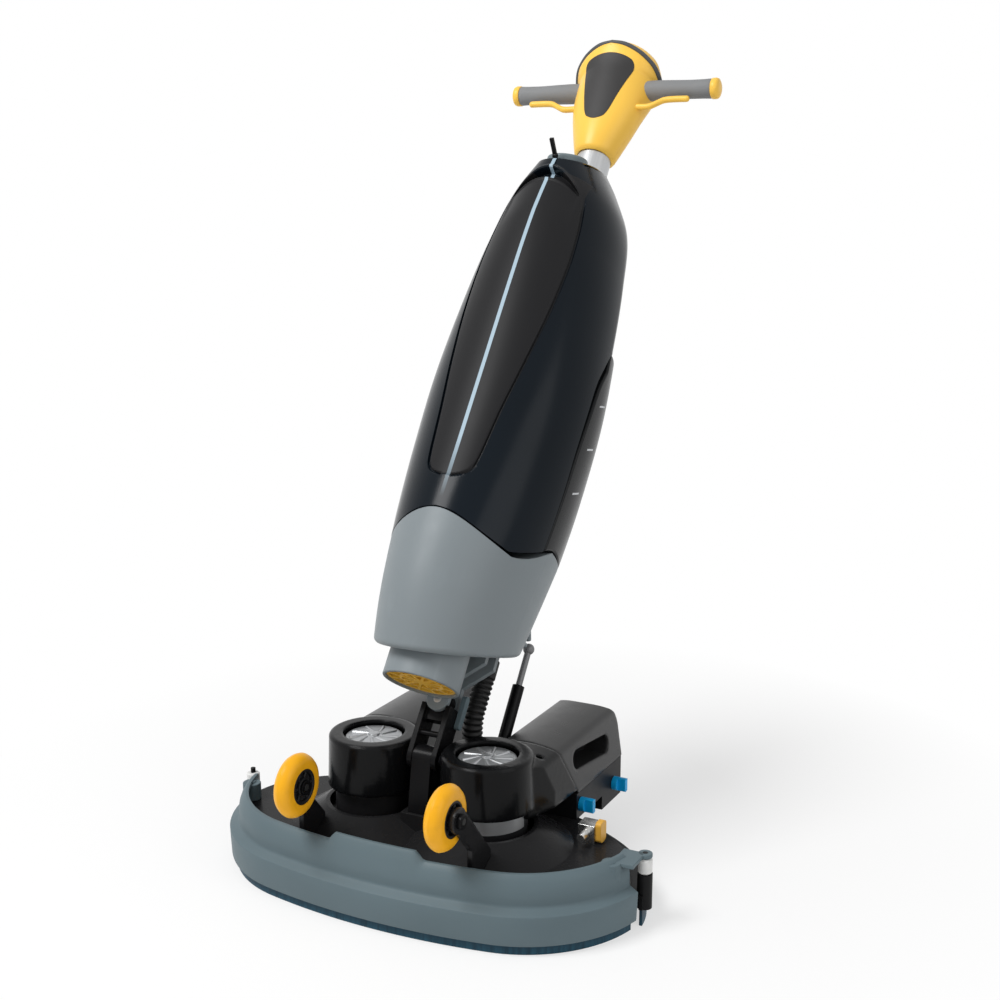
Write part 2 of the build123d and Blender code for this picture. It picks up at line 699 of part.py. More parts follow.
def squeegee_blades():
    """Inner and outer rubber blades, whose feet touch the floor."""
    outer = squeegee_band(0, BLADE_THICK, 0, SQUEEGEE_FOOT_Z)
    inner = squeegee_band(SQUEEGEE_DEPTH - BLADE_THICK, SQUEEGEE_DEPTH, 0, SQUEEGEE_FOOT_Z)
    return Compound(children=[outer.solid(), inner.solid()])


def wall_roller():
    x, y = ROLLER_AT
    low = ROLLER_FOOT_Z + RUN
    roller = post(x, y, ROLLER_R, low, low + ROLLER_HEIGHT - RUN)
    roller = chamfer(roller.edges().filter_by(GeomType.CIRCLE), 1.5)
    return roller - post(x, y, ROLLER_PIN_R + FIT, low, low + ROLLER_HEIGHT)


# Yoke and pivots


def pivot_bracket():
    """Lug on the pivot block, with the bore for the tilt pin."""
    profile = [(BLOCK_FRONT_Y + LUG_STEP, BLOCK_TOP_Z), (BLOCK_REAR_Y - LUG_STEP, BLOCK_TOP_Z)]
    profile += [(PIVOT_Y + LUG_R, PIVOT_Z), (PIVOT_Y - LUG_R, PIVOT_Z)]
    lug = along_x(outline_face(profile), -LUG_HALF, LUG_HALF)
    lug += pin_x(PIVOT_Y, PIVOT_Z, LUG_R, -LUG_HALF, LUG_HALF)
    return lug - pin_x(PIVOT_Y, PIVOT_Z, PIN_R + FIT, -LUG_HALF, LUG_HALF)


def yoke_half():
    return LUG_HALF + RUN + YOKE_PLATE


def tilt_pin():
    return pin_x(PIVOT_Y, PIVOT_Z, PIN_R, -yoke_half(), yoke_half())


def yoke():
    """Two plates on the tilt pin, a bridge between them and the boss for the lean pin."""
    inner = LUG_HALF + RUN
    outer = yoke_half()
    top = LEAN_Z - LEAN_BOSS_R / 2
    side = block(inner, outer, -YOKE_R, YOKE_R, 0, top) + pin_x(0, 0, YOKE_R, inner, outer)
    side -= pin_x(0, 0, PIN_R + FIT, inner, outer)
    fork = side + mirrored(side)
    fork += block(-outer, outer, -LEAN_BOSS_HALF, LEAN_BOSS_HALF, YOKE_BRIDGE_Z, top)
    fork += pin_y(0, LEAN_Z, LEAN_BOSS_R, -LEAN_BOSS_HALF, LEAN_BOSS_HALF)
    fork += pin_x(-YOKE_R / 2, YOKE_ROD_Z, YOKE_ROD_R, -outer, outer)
    fork -= pin_y(0, LEAN_Z, EAR_R + RUN * 2, LEAN_BOSS_HALF, YOKE_R)
    fork -= pin_y(0, LEAN_Z, EAR_R + RUN * 2, -YOKE_R, -LEAN_BOSS_HALF)
    fork -= pin_y(0, LEAN_Z, LEAN_PIN_R + FIT, -LEAN_BOSS_HALF, LEAN_BOSS_HALF)
    fork -= pin_x(LOCK_Y, LOCK_Z, LOCK_HALF / 2 + FIT, inner, outer)
    return BODY * fork


def lean_pin():
    reach = LEAN_BOSS_HALF + RUN + EAR_THICK
    return BODY * pin_y(0, LEAN_Z, LEAN_PIN_R, -reach, reach)


def lock_lever():
    """Small lever on the outside of the yoke, on its own stub pin."""
    outer = yoke_half()
    lever = along_x(
        outline_face(
            [
                (LOCK_Y - LOCK_HALF, LOCK_Z - LOCK_HALF),
                (LOCK_Y + LOCK_HALF, LOCK_Z - LOCK_HALF),
                (LOCK_Y + LOCK_HALF, LOCK_Z + LOCK_LENGTH),
                (LOCK_Y - LOCK_HALF, LOCK_Z + LOCK_LENGTH),
            ],
            LOCK_HALF * 0.8,
        ),
        outer + RUN,
        outer + RUN + LOCK_THICK,
    )
    return BODY * (lever + pin_x(LOCK_Y, LOCK_Z, LOCK_HALF / 2, LUG_HALF + RUN, outer + RUN + LOCK_THICK))


def base_foot(y):
    """Height of the base housing's sloped underside at a place from front to back."""
    return BASE_FOOT_FRONT_Z + (y - BASE_FOOT_FRONT_Y) * BASE_FOOT_SLOPE


def under_base(rise):
    """Everything below the underside plane, raised by a wall."""
    low, high = -BIG / 3, BIG / 3
    points = [(low, -BIG), (high, -BIG), (high, base_foot(high) + rise), (low, base_foot(low) + rise)]
    return along_x(outline_face(points), -BIG, BIG)


def lean_bracket():
    """Two gusset ears under the base housing, one on each side of the yoke's boss."""
    top = base_foot(WAIST_Y) + 40
    neck = LEAN_Z + EAR_R * 1.6
    wide = neck + EAR_R * 2
    sides = [(-EAR_R, LEAN_Z), (EAR_R, LEAN_Z), (EAR_R, neck), (BRACKET_HALF, wide), (BRACKET_HALF, top)]
    sides += [(-BRACKET_HALF, top), (-BRACKET_HALF, wide), (-EAR_R, neck)]
    plate = outline_face(sides)
    near = LEAN_BOSS_HALF + RUN
    ears = []
    for y0, y1 in ((-near - EAR_THICK, -near), (near, near + EAR_THICK)):
        ear = along_y(plate, y0, y1) + pin_y(0, LEAN_Z, EAR_R, y0, y1)
        ear -= pin_y(0, LEAN_Z, LEAN_PIN_R + FIT, y0, y1)
        ears.append(BODY * (ear & under_base(0)).solid())
    return Compound(children=ears)


# Body


def station_face(station, inset=0.0, rear=None):
    """One station of the body: half an ellipse to the front and half to the rear."""
    z, half, front, back = station
    back = rear if rear is not None else back
    half -= inset
    nose = EllipticalCenterArc((0, WAIST_Y), half, front + WAIST_Y - inset, 180, arc_size=180)
    tail = EllipticalCenterArc((0, WAIST_Y), half, back - WAIST_Y - inset, 0, arc_size=180)
    return Pos(0, 0, z) * make_face([nose, tail])


def body_loft(first, last, inset=0.0):
    return loft([station_face(s, inset) for s in STATIONS[first:last]])


def tank_loft(inset):
    """The body's form from the seam up, with the front tank's own reach to the rear."""
    pairs = zip(STATIONS[TANK_FIRST:], TANK_REARS)
    return loft([station_face(s, inset, rear) for s, rear in pairs])


def below_seam(rise):
    """Everything under the wavy seam between the base housing and the tanks, raised by a wall."""
    floor = -BIG
    half = [(x, z + rise) for x, z in SEAM_WAVE]
    points = [(-x, z) for x, z in reversed(half[1:])] + half
    wave = Spline(*points)
    first, last = points[0], points[-1]
    rim = Polyline(last, (last[0], floor), (first[0], floor), first)
    front = along_y(make_face([wave, rim]), -BIG, BIG)
    low, back = SEAM_LOW_Z + rise, SEAM_BACK_Z + rise
    rising = Spline((SEAM_LOW_Y, low), (SEAM_BACK_Y, back), tangents=[(1, 0), (1, 0.6)])
    corners = ((BIG, back), (BIG, floor), (-BIG, floor), (-BIG, low))
    frame = Polyline((SEAM_BACK_Y, back), *corners, (SEAM_LOW_Y, low))
    side = along_x(make_face([rising, frame]), -BIG, BIG)
    return front + side


def mast_room(extra):
    """The channel that both tanks leave for the mast."""
    return MAST_R + MAST_ROOM + extra


def base_housing():
    """Moulded shell between the yoke and the tanks, with the hose spigot and the strut's ball stud."""
    outer = body_loft(0, 6) - under_base(0)
    foot = [e for e in outer.edges() if abs((e @ 0.5).Z - base_foot((e @ 0.5).Y)) < 0.01]
    outer = fillet(foot, BASE_FOOT_ROUND)
    inner = body_loft(0, 6, SHELL) - under_base(SHELL)
    shell = (outer & below_seam(0)) - (inner & below_seam(-SHELL))
    shell -= post(0, MAST_Y, MAST_R + TOUCH, base_foot(0) + BASE_FOOT_ROUND * 2, BIG)
    top = base_foot(HOSE_Y) + HOSE_ROOT_R * BASE_FOOT_SLOPE + SHELL / 2
    shell += post(HOSE_X, HOSE_Y, HOSE_ROOT_R, HOSE_TOP_Z, top) & under_base(SHELL / 2)
    shell -= post(HOSE_X, HOSE_Y, HOSE_BORE_R, HOSE_TOP_Z, top + SHELL * 3)
    tip = STRUT_Y - STRUT_BALL_R - STRUT_BALL_GAP
    shell += pin_y(STRUT_X, STRUT_TOP_Z, STRUT_BALL_R / 2, 0, tip) - inner
    return BODY * shell


def mast_tube():
    foot = base_foot(MAST_Y - MAST_R)
    tube = post(0, MAST_Y, MAST_R, foot, MAST_TOP_Z) - post(0, MAST_Y, MAST_R - MAST_WALL, foot, MAST_TOP_Z)
    return BODY * (tube - under_base(SHELL))


def vacuum_motor():
    """Suction motor standing on the base housing's floor, under the tank."""
    motor = post(0, VACUUM_Y, VACUUM_R, BASE_FOOT_FRONT_Z, VACUUM_TOP_Z)
    motor += post(0, VACUUM_Y, VACUUM_R * 0.6, VACUUM_TOP_Z, VACUUM_TOP_Z + 8)
    return BODY * (motor - under_base(SHELL))


def filter_cup():
    """Round cup under the base housing that holds the filter grille."""
    seat = CUP_LIP_Z + GRILLE_RECESS + GRILLE_THICK
    cup = post(0, CUP_Y, CUP_R, CUP_LIP_Z, base_foot(CUP_Y + CUP_R))
    cup = fillet(cup.edges().filter_by(GeomType.CIRCLE).sort_by(Axis.Z)[0], 1.2)
    cup -= post(0, CUP_Y, CUP_R - CUP_WALL, CUP_LIP_Z, seat)
    cup -= post(0, CUP_Y, CUP_R - CUP_WALL * 2.5, seat, BIG) & under_base(-CUP_WALL)
    return BODY * (cup & under_base(0))


def filter_grille():
    """Amber grille: a rim, a hub, a middle ring and radial bars."""
    low = CUP_LIP_Z + GRILLE_RECESS
    high = low + GRILLE_THICK - RUN
    rim_r = CUP_R - CUP_WALL - RUN
    grille = post(0, CUP_Y, rim_r, low, high)
    for outer, inner in ((rim_r - GRILLE_BAR, GRILLE_RING_R), (GRILLE_RING_R - GRILLE_BAR, GRILLE_HUB_R)):
        ring = post(0, CUP_Y, outer, low, high) - post(0, CUP_Y, inner, low, high)
        bars = []
        for i in range(GRILLE_BARS // 2):
            bar = block(-rim_r, rim_r, -GRILLE_BAR / 2, GRILLE_BAR / 2, low, high)
            bars.append(Pos(0, CUP_Y, 0) * Rot(0, 0, 360 / GRILLE_BARS * i) * bar)
        grille -= ring - bars
    return BODY * grille


# Tanks


def tank_top(lift):
    """Everything above the front tank's sloped top, lowered by a wall."""
    (y0, z0), (y1, z1) = TANK_TOP_FRONT, TANK_TOP_REAR
    slope = (z1 - z0) / (y1 - y0)
    low, high = -BIG / 3, BIG / 3
    points = [(y, z0 + (y - y0) * slope - lift) for y in (low, high)] + [(high, BIG * 2), (low, BIG * 2)]
    return along_x(outline_face(points), -BIG, BIG)


def tank_body(inset):
    """The front tank's outer form, or the space inside its walls."""
    form = tank_loft(inset) - tank_top(inset)
    form -= below_seam(SEAM_GAP + inset)
    split = REAR_TANK_SPLIT_Y - SEAM_GAP - inset
    form -= block(-BIG, BIG, split, BIG, -BIG, REAR_TANK_TOP_Z + RUN * 4 + inset)
    room = mast_room(inset)
    return form - block(-room, room, MAST_Y - room, BIG, -BIG, BIG)


def panel_outline(shrink):
    """The pressed panel on the tank's front, from the hand recess down to a round foot."""
    top, foot = PANEL_TOP_HALF - shrink, PANEL_FOOT_HALF - shrink
    low = PANEL_FOOT_Z + shrink
    start, end = (top, PANEL_TOP_Z - shrink), (foot, low + foot / 2)
    side = (PANEL_SIDE[0] - shrink, PANEL_SIDE[1])
    edges = [
        Line((-start[0], start[1]), start),
        ThreePointArc(start, side, end),
        ThreePointArc(end, (0, low), (-end[0], end[1])),
        ThreePointArc((-end[0], end[1]), (-side[0], side[1]), (-start[0], start[1])),
    ]
    return make_face(edges)


def front_tank():
    """Recovery tank: a hollow shell round the front of the mast, with a hand recess and a panel groove."""
    outer = tank_body(0)
    recess = pin_x(RECESS_Y, RECESS_Z, RECESS_R, -RECESS_HALF, RECESS_HALF)
    recess = fillet(recess.edges().filter_by(GeomType.CIRCLE), RECESS_R * 0.6)
    lining = pin_x(RECESS_Y, RECESS_Z, RECESS_R + SHELL, -RECESS_HALF - SHELL, RECESS_HALF + SHELL)
    groove = along_y(panel_outline(0) - panel_outline(GROOVE_WIDTH), -BIG, WAIST_Y)
    skin = tank_loft(GROOVE_DEPTH)
    tank = outer - (tank_body(SHELL) - lining) - recess
    tank -= groove - skin
    return BODY * tank


def rear_tank():
    """Clean-water tank: a hollow shell behind the mast, on the flat back of the base housing."""
    forms = []
    for inset in (0.0, SHELL):
        form = body_loft(TANK_FIRST, 9, inset)
        split = REAR_TANK_SPLIT_Y + inset
        form &= block(-BIG, BIG, split, BIG, SEAM_BACK_Z + SEAM_GAP + inset, REAR_TANK_TOP_Z - inset)
        room = mast_room(inset)
        form -= block(-room, room, -BIG, MAST_Y + room, -BIG, BIG)
        forms.append(form)
    outer, inner = forms
    top = outer.faces().sort_by(Axis.Z)[-1]
    back = top.edges().sort_by(Axis.Y)[-1]
    outer = fillet(back, REAR_TANK_ROUND)
    return BODY * (outer - inner)


def cap_place():
    """Frame on the tank's sloped top: its origin at the cap's front, Y running to the rear."""
    (y0, z0), (y1, z1) = TANK_TOP_FRONT, TANK_TOP_REAR
    run = Vector(0, y1 - y0, z1 - z0).normalized()
    up = Vector(0, -run.Z, run.Y)
    start = Vector(0, y0, z0) + run * CAP_FRONT
    return Location(Plane((start.X, start.Y, start.Z), x_dir=(1, 0, 0), z_dir=(up.X, up.Y, up.Z)))


def tank_cap():
    """Lid on the tank's top, with its hinge barrel at the rear edge."""
    lid = Pos(0, CAP_LENGTH / 2, 0) * Ellipse(CAP_HALF, CAP_LENGTH / 2)
    lid = extrude(Pos(0, 0, TOUCH) * lid, CAP_THICK)
    lid = fillet(lid.edges().group_by(Axis.Z)[-1], CAP_ROUND)
    lid += pin_x(CAP_LENGTH, TOUCH + CAP_BARREL_R, CAP_BARREL_R, -CAP_BARREL_HALF, CAP_BARREL_HALF)
    return BODY * cap_place() * lid


def cap_latch():
    """Thin latch lever that stands up in front of the cap and leans forward."""
    lever = block(-LATCH_HALF, LATCH_HALF, -LATCH_THICK / 2, LATCH_THICK / 2, 0, LATCH_LENGTH)
    lever += pin_x(0, 0, LATCH_THICK, -LATCH_HALF, LATCH_HALF)
    return BODY * cap_place() * Pos(0, -LATCH_THICK * 2, LATCH_THICK + RUN) * Rot(LATCH_LEAN, 0, 0) * lever


# Head


def head_station(station, grow):
    """One level of the head: a narrow face, the full width at the split, and a narrower back."""
    z, half, front, rear = station
    half, front, rear = half + grow, front + grow, rear + grow
    face, tail = half * HEAD_FACE_SHARE, half * HEAD_REAR_SHARE
    split = HEAD_SPLIT_Y + GASKET_THICK / 2
    points = [(-face, -front), (face, -front), (half, split), (tail, rear), (-tail, rear), (-half, split)]
    return Pos(0, 0, z) * outline_face(points, half * HEAD_CORNER)


def head_arch(grow, rise):
    """Front view of the head's round top, as (x, z), standing on a wide foot."""
    half = [(x + grow if x else 0, z + grow + rise) for x, z in HEAD_ARCH]
    points = half + [(-x, z) for x, z in reversed(half[:-1])]
    arch = Spline(*points, tangents=[(0, 1), (0, -1)])
    wide, low = half[0][0], HEAD_STATIONS[0][0] - 10
    return make_face([arch, Polyline(points[-1], (-wide, low), (wide, low), points[0])])


def head_form(grow, rise=0.0):
    """The head's whole outer form, grown or drawn in, with its round top raised."""
    levels = list(HEAD_STATIONS)
    if grow < 0:
        z, half, front, rear = levels[0]
        levels[0] = (z - grow, half, front, rear)
    form = loft([head_station(s, grow) for s in levels])
    return form & along_y(head_arch(grow, rise), -BIG, BIG)


def insert_outline():
    top, foot = INSERT_TOP_HALF, INSERT_FOOT_HALF
    points = [(-foot, INSERT_FOOT_Z), (foot, INSERT_FOOT_Z), (top, INSERT_TOP_Z), (-top, INSERT_TOP_Z)]
    return outline_face(points, INSERT_ROUND)


def insert_prism():
    return along_y(insert_outline(), -BIG, HEAD_SPLIT_Y)


def tube_holes():
    """The mast and the handlebar, as they are cut from the head's pieces."""
    return post(0, MAST_Y, MAST_R + TOUCH, 0, MAST_TOP_Z) + pin_x(BAR_Y, BAR_Z, BAR_R + TOUCH, -BIG, BIG)


def head_front_shell():
    """Front half of the head, with the mouths and pins of the triggers and a seat for the insert."""
    front = block(-BIG, BIG, -BIG, HEAD_SPLIT_Y, 0, BIG * 2)
    front += block(-BIG, BIG, HEAD_SPLIT_Y, HEAD_SPLIT_Y + GASKET_THICK, 0, GASKET_FOOT_Z)
    form = head_form(0)
    shell = (form - head_form(-SHELL)) & front
    shell -= tube_holes()
    for side in (-1, 1):
        shell -= trigger_room(side)
    for side in (-1, 1):
        pin = pin_y(side * TRIGGER_X, TRIGGER_Z, TRIGGER_PIN_R, -BIG, TRIGGER_Y + TRIGGER_R * 2)
        shell += pin & form
    skin = form - Pos(0, INSERT_THICK, 0) * form
    return BODY * (shell - (skin & insert_prism()))


def head_insert():
    form = head_form(0)
    return BODY * ((form - Pos(0, INSERT_THICK, 0) * form) & insert_prism())


def head_gasket():
    """Dark rubber rim between the head's halves, over its top from grip to grip."""
    ring = head_form(GASKET_PROUD) - head_form(-SHELL)
    return BODY * (ring & block(-BIG, BIG, HEAD_SPLIT_Y, HEAD_SPLIT_Y + GASKET_THICK, GASKET_FOOT_Z, BIG * 2))


def head_rear_shell():
    rear = block(-BIG, BIG, HEAD_SPLIT_Y + GASKET_THICK, BIG, 0, BIG * 2)
    shell = (head_form(0, HEAD_REAR_RISE) - head_form(-SHELL, HEAD_REAR_RISE)) & rear
    return BODY * (shell - tube_holes())


def handlebar():
    return BODY * pin_x(BAR_Y, BAR_Z, BAR_R, -GRIP_END - END_CAP_LENGTH / 2, GRIP_END + END_CAP_LENGTH / 2)


def grips():
    grip = pin_x(BAR_Y, BAR_Z, GRIP_R, GRIP_START, GRIP_END)
    grip -= pin_x(BAR_Y, BAR_Z, BAR_R + FIT, GRIP_START, GRIP_END)
    return Compound(children=[BODY * grip.solid(), BODY * mirrored(grip).solid()])


def grip_end_caps():
    end = GRIP_END + END_CAP_LENGTH
    cap = pin_x(BAR_Y, BAR_Z, END_CAP_R, GRIP_END, end)
    cap = chamfer(cap.edges().filter_by(GeomType.CIRCLE).sort_by(Axis.X)[-1], END_CAP_LENGTH * 0.35)
    cap -= pin_x(BAR_Y, BAR_Z, BAR_R + FIT, GRIP_END, GRIP_END + END_CAP_LENGTH / 2)
    return Compound(children=[BODY * cap.solid(), BODY * mirrored(cap).solid()])


def trigger_outline():
    """Side view of a trigger bar as (x, z): level in the head, a step up, then along the grip."""
    step_x, high_x = TRIGGER_STEP
    path = ((TRIGGER_X, 0), (step_x, -2), (high_x, TRIGGER_RISE - 1), (TRIGGER_END_X, TRIGGER_RISE))
    low = [(x, TRIGGER_Z + rise - TRIGGER_R) for x, rise in path]
    high = [(x, TRIGGER_Z + rise + TRIGGER_R) for x, rise in reversed(path)]
    return outline_face(low + high, TRIGGER_R * 0.9)


def trigger_room(side):
    """Mouth in the head for a trigger, with room for its travel."""
    half = TRIGGER_R + RUN * 3
    high = half + TRIGGER_PLAY
    inner = TRIGGER_X - TRIGGER_EYE_R - 2
    mouth = block(inner, BIG, TRIGGER_Y - half, TRIGGER_Y + half, TRIGGER_Z - high, TRIGGER_Z + high)
    return mouth if side > 0 else mirrored(mouth)


def trigger():
    """Bent trigger bar under a grip, with an eye on the head's pin."""
    bar = along_y(trigger_outline(), TRIGGER_Y - TRIGGER_R, TRIGGER_Y + TRIGGER_R)
    bar += pin_y(TRIGGER_X, TRIGGER_Z, TRIGGER_EYE_R, TRIGGER_Y - TRIGGER_R, TRIGGER_Y + TRIGGER_R)
    return bar - pin_y(TRIGGER_X, TRIGGER_Z, TRIGGER_PIN_R + FIT, -BIG, BIG)


# Strut, hose and duct


def strut_post():
    """Clevis post on the deck for the strut's lower pin."""
    low = (BODY * Pos(STRUT_X, STRUT_Y, STRUT_LOW_Z)).position
    inner = STRUT_EYE_HALF + RUN
    front, rear = low.Y - STRUT_EYE_R, low.Y + STRUT_EYE_R
    clevis = block(STRUT_X - inner, STRUT_X + inner, front, rear, DECK_Z, low.Z - STRUT_EYE_R * 2)
    for x0 in (STRUT_X - inner - POST_PLATE, STRUT_X + inner):
        clevis += block(x0, x0 + POST_PLATE, front, rear, DECK_Z, low.Z)
        clevis += pin_x(low.Y, low.Z, STRUT_EYE_R, x0, x0 + POST_PLATE)
    clevis += pin_x(low.Y, low.Z, STRUT_PIN_R, STRUT_X - inner, STRUT_X + inner)
    return clevis - grown_collar()


def strut_cylinder():
    left, right = STRUT_X - STRUT_EYE_HALF, STRUT_X + STRUT_EYE_HALF
    eye = pin_x(STRUT_Y, STRUT_LOW_Z, STRUT_EYE_R - 1, left, right)
    shoulder_z = STRUT_LOW_Z + STRUT_EYE_R + 2
    tube = post(STRUT_X, STRUT_Y, STRUT_CYLINDER_R, shoulder_z, STRUT_CYLINDER_TOP_Z)
    tube += post(STRUT_X, STRUT_Y, STRUT_NECK_R, STRUT_LOW_Z, shoulder_z) + eye
    tube -= pin_x(STRUT_Y, STRUT_LOW_Z, STRUT_PIN_R + FIT, left, right)
    return BODY * (tube - post(STRUT_X, STRUT_Y, STRUT_ROD_R + FIT, shoulder_z + 4, STRUT_CYLINDER_TOP_Z))


def strut_rod():
    rod = post(STRUT_X, STRUT_Y, STRUT_ROD_R, STRUT_ROD_FOOT_Z, STRUT_TOP_Z)
    return BODY * (rod + Pos(STRUT_X, STRUT_Y, STRUT_TOP_Z) * Sphere(STRUT_BALL_R))


def hose_top():
    top = BODY * Pos(HOSE_X, HOSE_Y, HOSE_TOP_Z)
    return top.position


def hose_bend():
    """Hose route: straight down the body, one bend, straight down to the duct. Gives its three lengths."""
    trim = HOSE_BEND_R * tan(radians(TILT) / 2)
    top = hose_top()
    upper = HOSE_END * 1.9
    bend = HOSE_BEND_R * radians(TILT)
    corner_z = top.Z - (upper + trim) * cos(radians(TILT))
    lower = corner_z - trim - DUCT_SPIGOT_Z
    return upper, bend, lower


def hose_place(s):
    """Place on the hose's centre line at a distance from its top, with the line's slope."""
    upper, bend, lower = hose_bend()
    tilt = radians(TILT)
    top = hose_top()
    run = min(s, upper)
    y, z = top.Y - run * sin(tilt), top.Z - run * cos(tilt)
    angle = tilt
    if s > upper:
        turn = min(s - upper, bend) / HOSE_BEND_R
        angle = tilt - turn
        y -= HOSE_BEND_R * (cos(angle) - cos(tilt))
        z -= HOSE_BEND_R * (sin(tilt) - sin(angle))
    if s > upper + bend:
        z -= s - upper - bend
    return Plane((HOSE_X, y, z), x_dir=(1, 0, 0), z_dir=(0, -sin(angle), -cos(angle)))


def hose_foot_y():
    return hose_place(sum(hose_bend())).origin.Y


def suction_hose():
    """Ribbed hose with a plain cuff at each end."""
    length = sum(hose_bend())
    pitch = (length - 2 * HOSE_END) / HOSE_RIBS
    rings = [(0.0, HOSE_R), (HOSE_END - pitch / 4, HOSE_R)]
    for i in range(HOSE_RIBS):
        start = HOSE_END + pitch * i
        rings += [(start, HOSE_ROOT_R), (start + pitch / 4, HOSE_ROOT_R)]
        rings += [(start + pitch / 2, HOSE_R), (start + pitch * 0.75, HOSE_R)]
    rings += [(length - HOSE_END, HOSE_ROOT_R), (length - HOSE_END + pitch / 4, HOSE_R), (length, HOSE_R)]
    skin = loft([hose_place(s) * Circle(r) for s, r in rings], ruled=True)
    bore = loft([hose_place(length / 12 * i) * Circle(HOSE_BORE_R) for i in range(13)], ruled=True)
    return skin - bore


def suction_duct():
    """Flat duct on the deck from the hose's spigot back and down to the squeegee's port."""
    y = hose_foot_y()
    leg, rear = duct_leg()
    forms = []
    for wall in (0.0, DUCT_WALL):
        left, right = HOSE_X - DUCT_HALF + wall, HOSE_X + DUCT_HALF - wall
        form = block(left, right, y - DUCT_HALF + wall, rear - wall, DECK_Z + wall, DUCT_TOP_Z - wall)
        forms.append(form + block(left, right, leg + wall, rear - wall, SQUEEGEE_TOP_Z, DUCT_TOP_Z - wall))
    duct = forms[0] + post(HOSE_X, y, HOSE_ROOT_R, DUCT_TOP_Z, DUCT_SPIGOT_Z)
    duct -= forms[1]
    return duct - post(HOSE_X, y, HOSE_BORE_R, DECK_Z + DUCT_WALL, DUCT_SPIGOT_Z) - grown_collar()


def duct_leg():
    """Front and rear of the duct's leg down to the squeegee."""
    return DECK_WAIST_Y + DECK_REAR_DEPTH + RUN * 5, DECK_WAIST_Y + SQUEEGEE_REACH - BLADE_THICK


def grown_collar():
    """The right collar with a little room round it, for pieces that stand against it."""
    return collar(1, -TOUCH * 2)


# Small controls


def latch_knob(y, z):
    face = BATTERY_OUT_X + RUN
    knob = pin_x(y, z, KNOB_R, face, face + KNOB_LENGTH)
    flat = KNOB_R * 0.45
    for y0, y1 in ((y + flat, y + KNOB_R), (y - KNOB_R, y - flat)):
        knob -= block(face + KNOB_LENGTH * 0.4, face + KNOB_LENGTH, y0, y1, z - KNOB_R, z + KNOB_R)
    return knob + pin_x(y, z, KNOB_NECK_R, face - KNOB_NECK, face)


def valve_body():
    """Water valve on the deck: a block with a plain hose fitting on its front."""
    top = DECK_Z + VALVE_HEIGHT
    front = VALVE_Y - VALVE_HALF
    valve = block(VALVE_X - VALVE_HALF, VALVE_X + VALVE_HALF, front, VALVE_Y + VALVE_HALF, DECK_Z, top)
    valve += pin_y(VALVE_X, DECK_Z + VALVE_HEIGHT * 0.55, FITTING_R, front - FITTING_LENGTH, VALVE_Y)
    side = VALVE_X + VALVE_HALF
    return valve - pin_x(VALVE_Y, STEM_Z, KNOB_NECK_R + FIT, side - KNOB_NECK, side)


def valve_lever():
    """Upright paddle on the stem in the valve's outer side."""
    face = VALVE_X + VALVE_HALF + RUN
    front, rear = VALVE_Y - PADDLE_HALF, VALVE_Y + PADDLE_HALF
    paddle = block(face, face + PADDLE_THICK, front, rear, STEM_Z - PADDLE_DROP, STEM_Z + PADDLE_RISE)
    paddle = fillet(paddle.edges().filter_by(Axis.X), PADDLE_HALF * 0.6)
    return paddle + pin_x(VALVE_Y, STEM_Z, KNOB_NECK_R, face - KNOB_NECK, face)


parts = {
    "deck_plate": deck_plate(),
    "front_bumper": front_bumper(),
    "splash_strip": splash_strip(),
    "pivot_bracket": pivot_bracket(),
    "tilt_pin": tilt_pin(),
    "squeegee_frame": squeegee_frame(),
    "squeegee_blades": squeegee_blades(),
    "suction_duct": suction_duct(),
    "suction_hose": suction_hose(),
    "strut_post": strut_post(),
    "strut_cylinder": strut_cylinder(),
    "strut_rod": strut_rod(),
    "valve_body": valve_body(),
    "valve_lever": valve_lever(),
    "yoke": yoke(),
    "lean_pin": lean_pin(),
    "lock_lever": lock_lever(),
    "base_housing": base_housing(),
    "lean_bracket": lean_bracket(),
    "filter_cup": filter_cup(),
    "filter_grille": filter_grille(),
    "vacuum_motor": vacuum_motor(),
    "mast_tube": mast_tube(),
    "front_tank": front_tank(),
    "tank_cap": tank_cap(),
    "cap_latch": cap_latch(),
    "rear_tank": rear_tank(),
    "head_front_shell": head_front_shell(),
    "head_gasket": head_gasket(),
    "head_rear_shell": head_rear_shell(),
    "head_insert": head_insert(),
    "handlebar": handlebar(),
    "grips": grips(),
    "grip_end_caps": grip_end_caps(),
}
for name, y, z in KNOB_PLACES:
    parts["latch_knob_" + name] = latch_knob(y, z)
bolt = wheel_bolt()
parts["wheel_bolts"] = Compound(children=[bolt.solid(), mirrored(bolt).solid()])
for name, make in (
    ("brush_motor", brush_motor),
    ("motor_cover", motor_cover),
    ("battery", battery),
    ("battery_tray", battery_tray),
    ("brush_disc", brush_disc),
    ("scrub_pad", scrub_pad),
    ("wheel_arm", wheel_arm),
    ("wheel_tyre", wheel_tyre),
    ("wheel_hub", wheel_hub),
    ("wall_roller", wall_roller),
):
    right = make()
    parts[name + "_right"] = right
    parts[name + "_left"] = mirrored(right)
bar = trigger()
parts["trigger_right"] = BODY * bar
parts["trigger_left"] = BODY * mirrored(bar)

# The whole is moved so that the origin lies on the floor under the middle of its box
for name, shape in parts.items():
    export_step(Pos(0, -CENTRE_Y, 0) * shape, "parts/" + name + ".step")
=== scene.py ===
import math

import bmesh
import bpy
from mathutils import Matrix, Vector


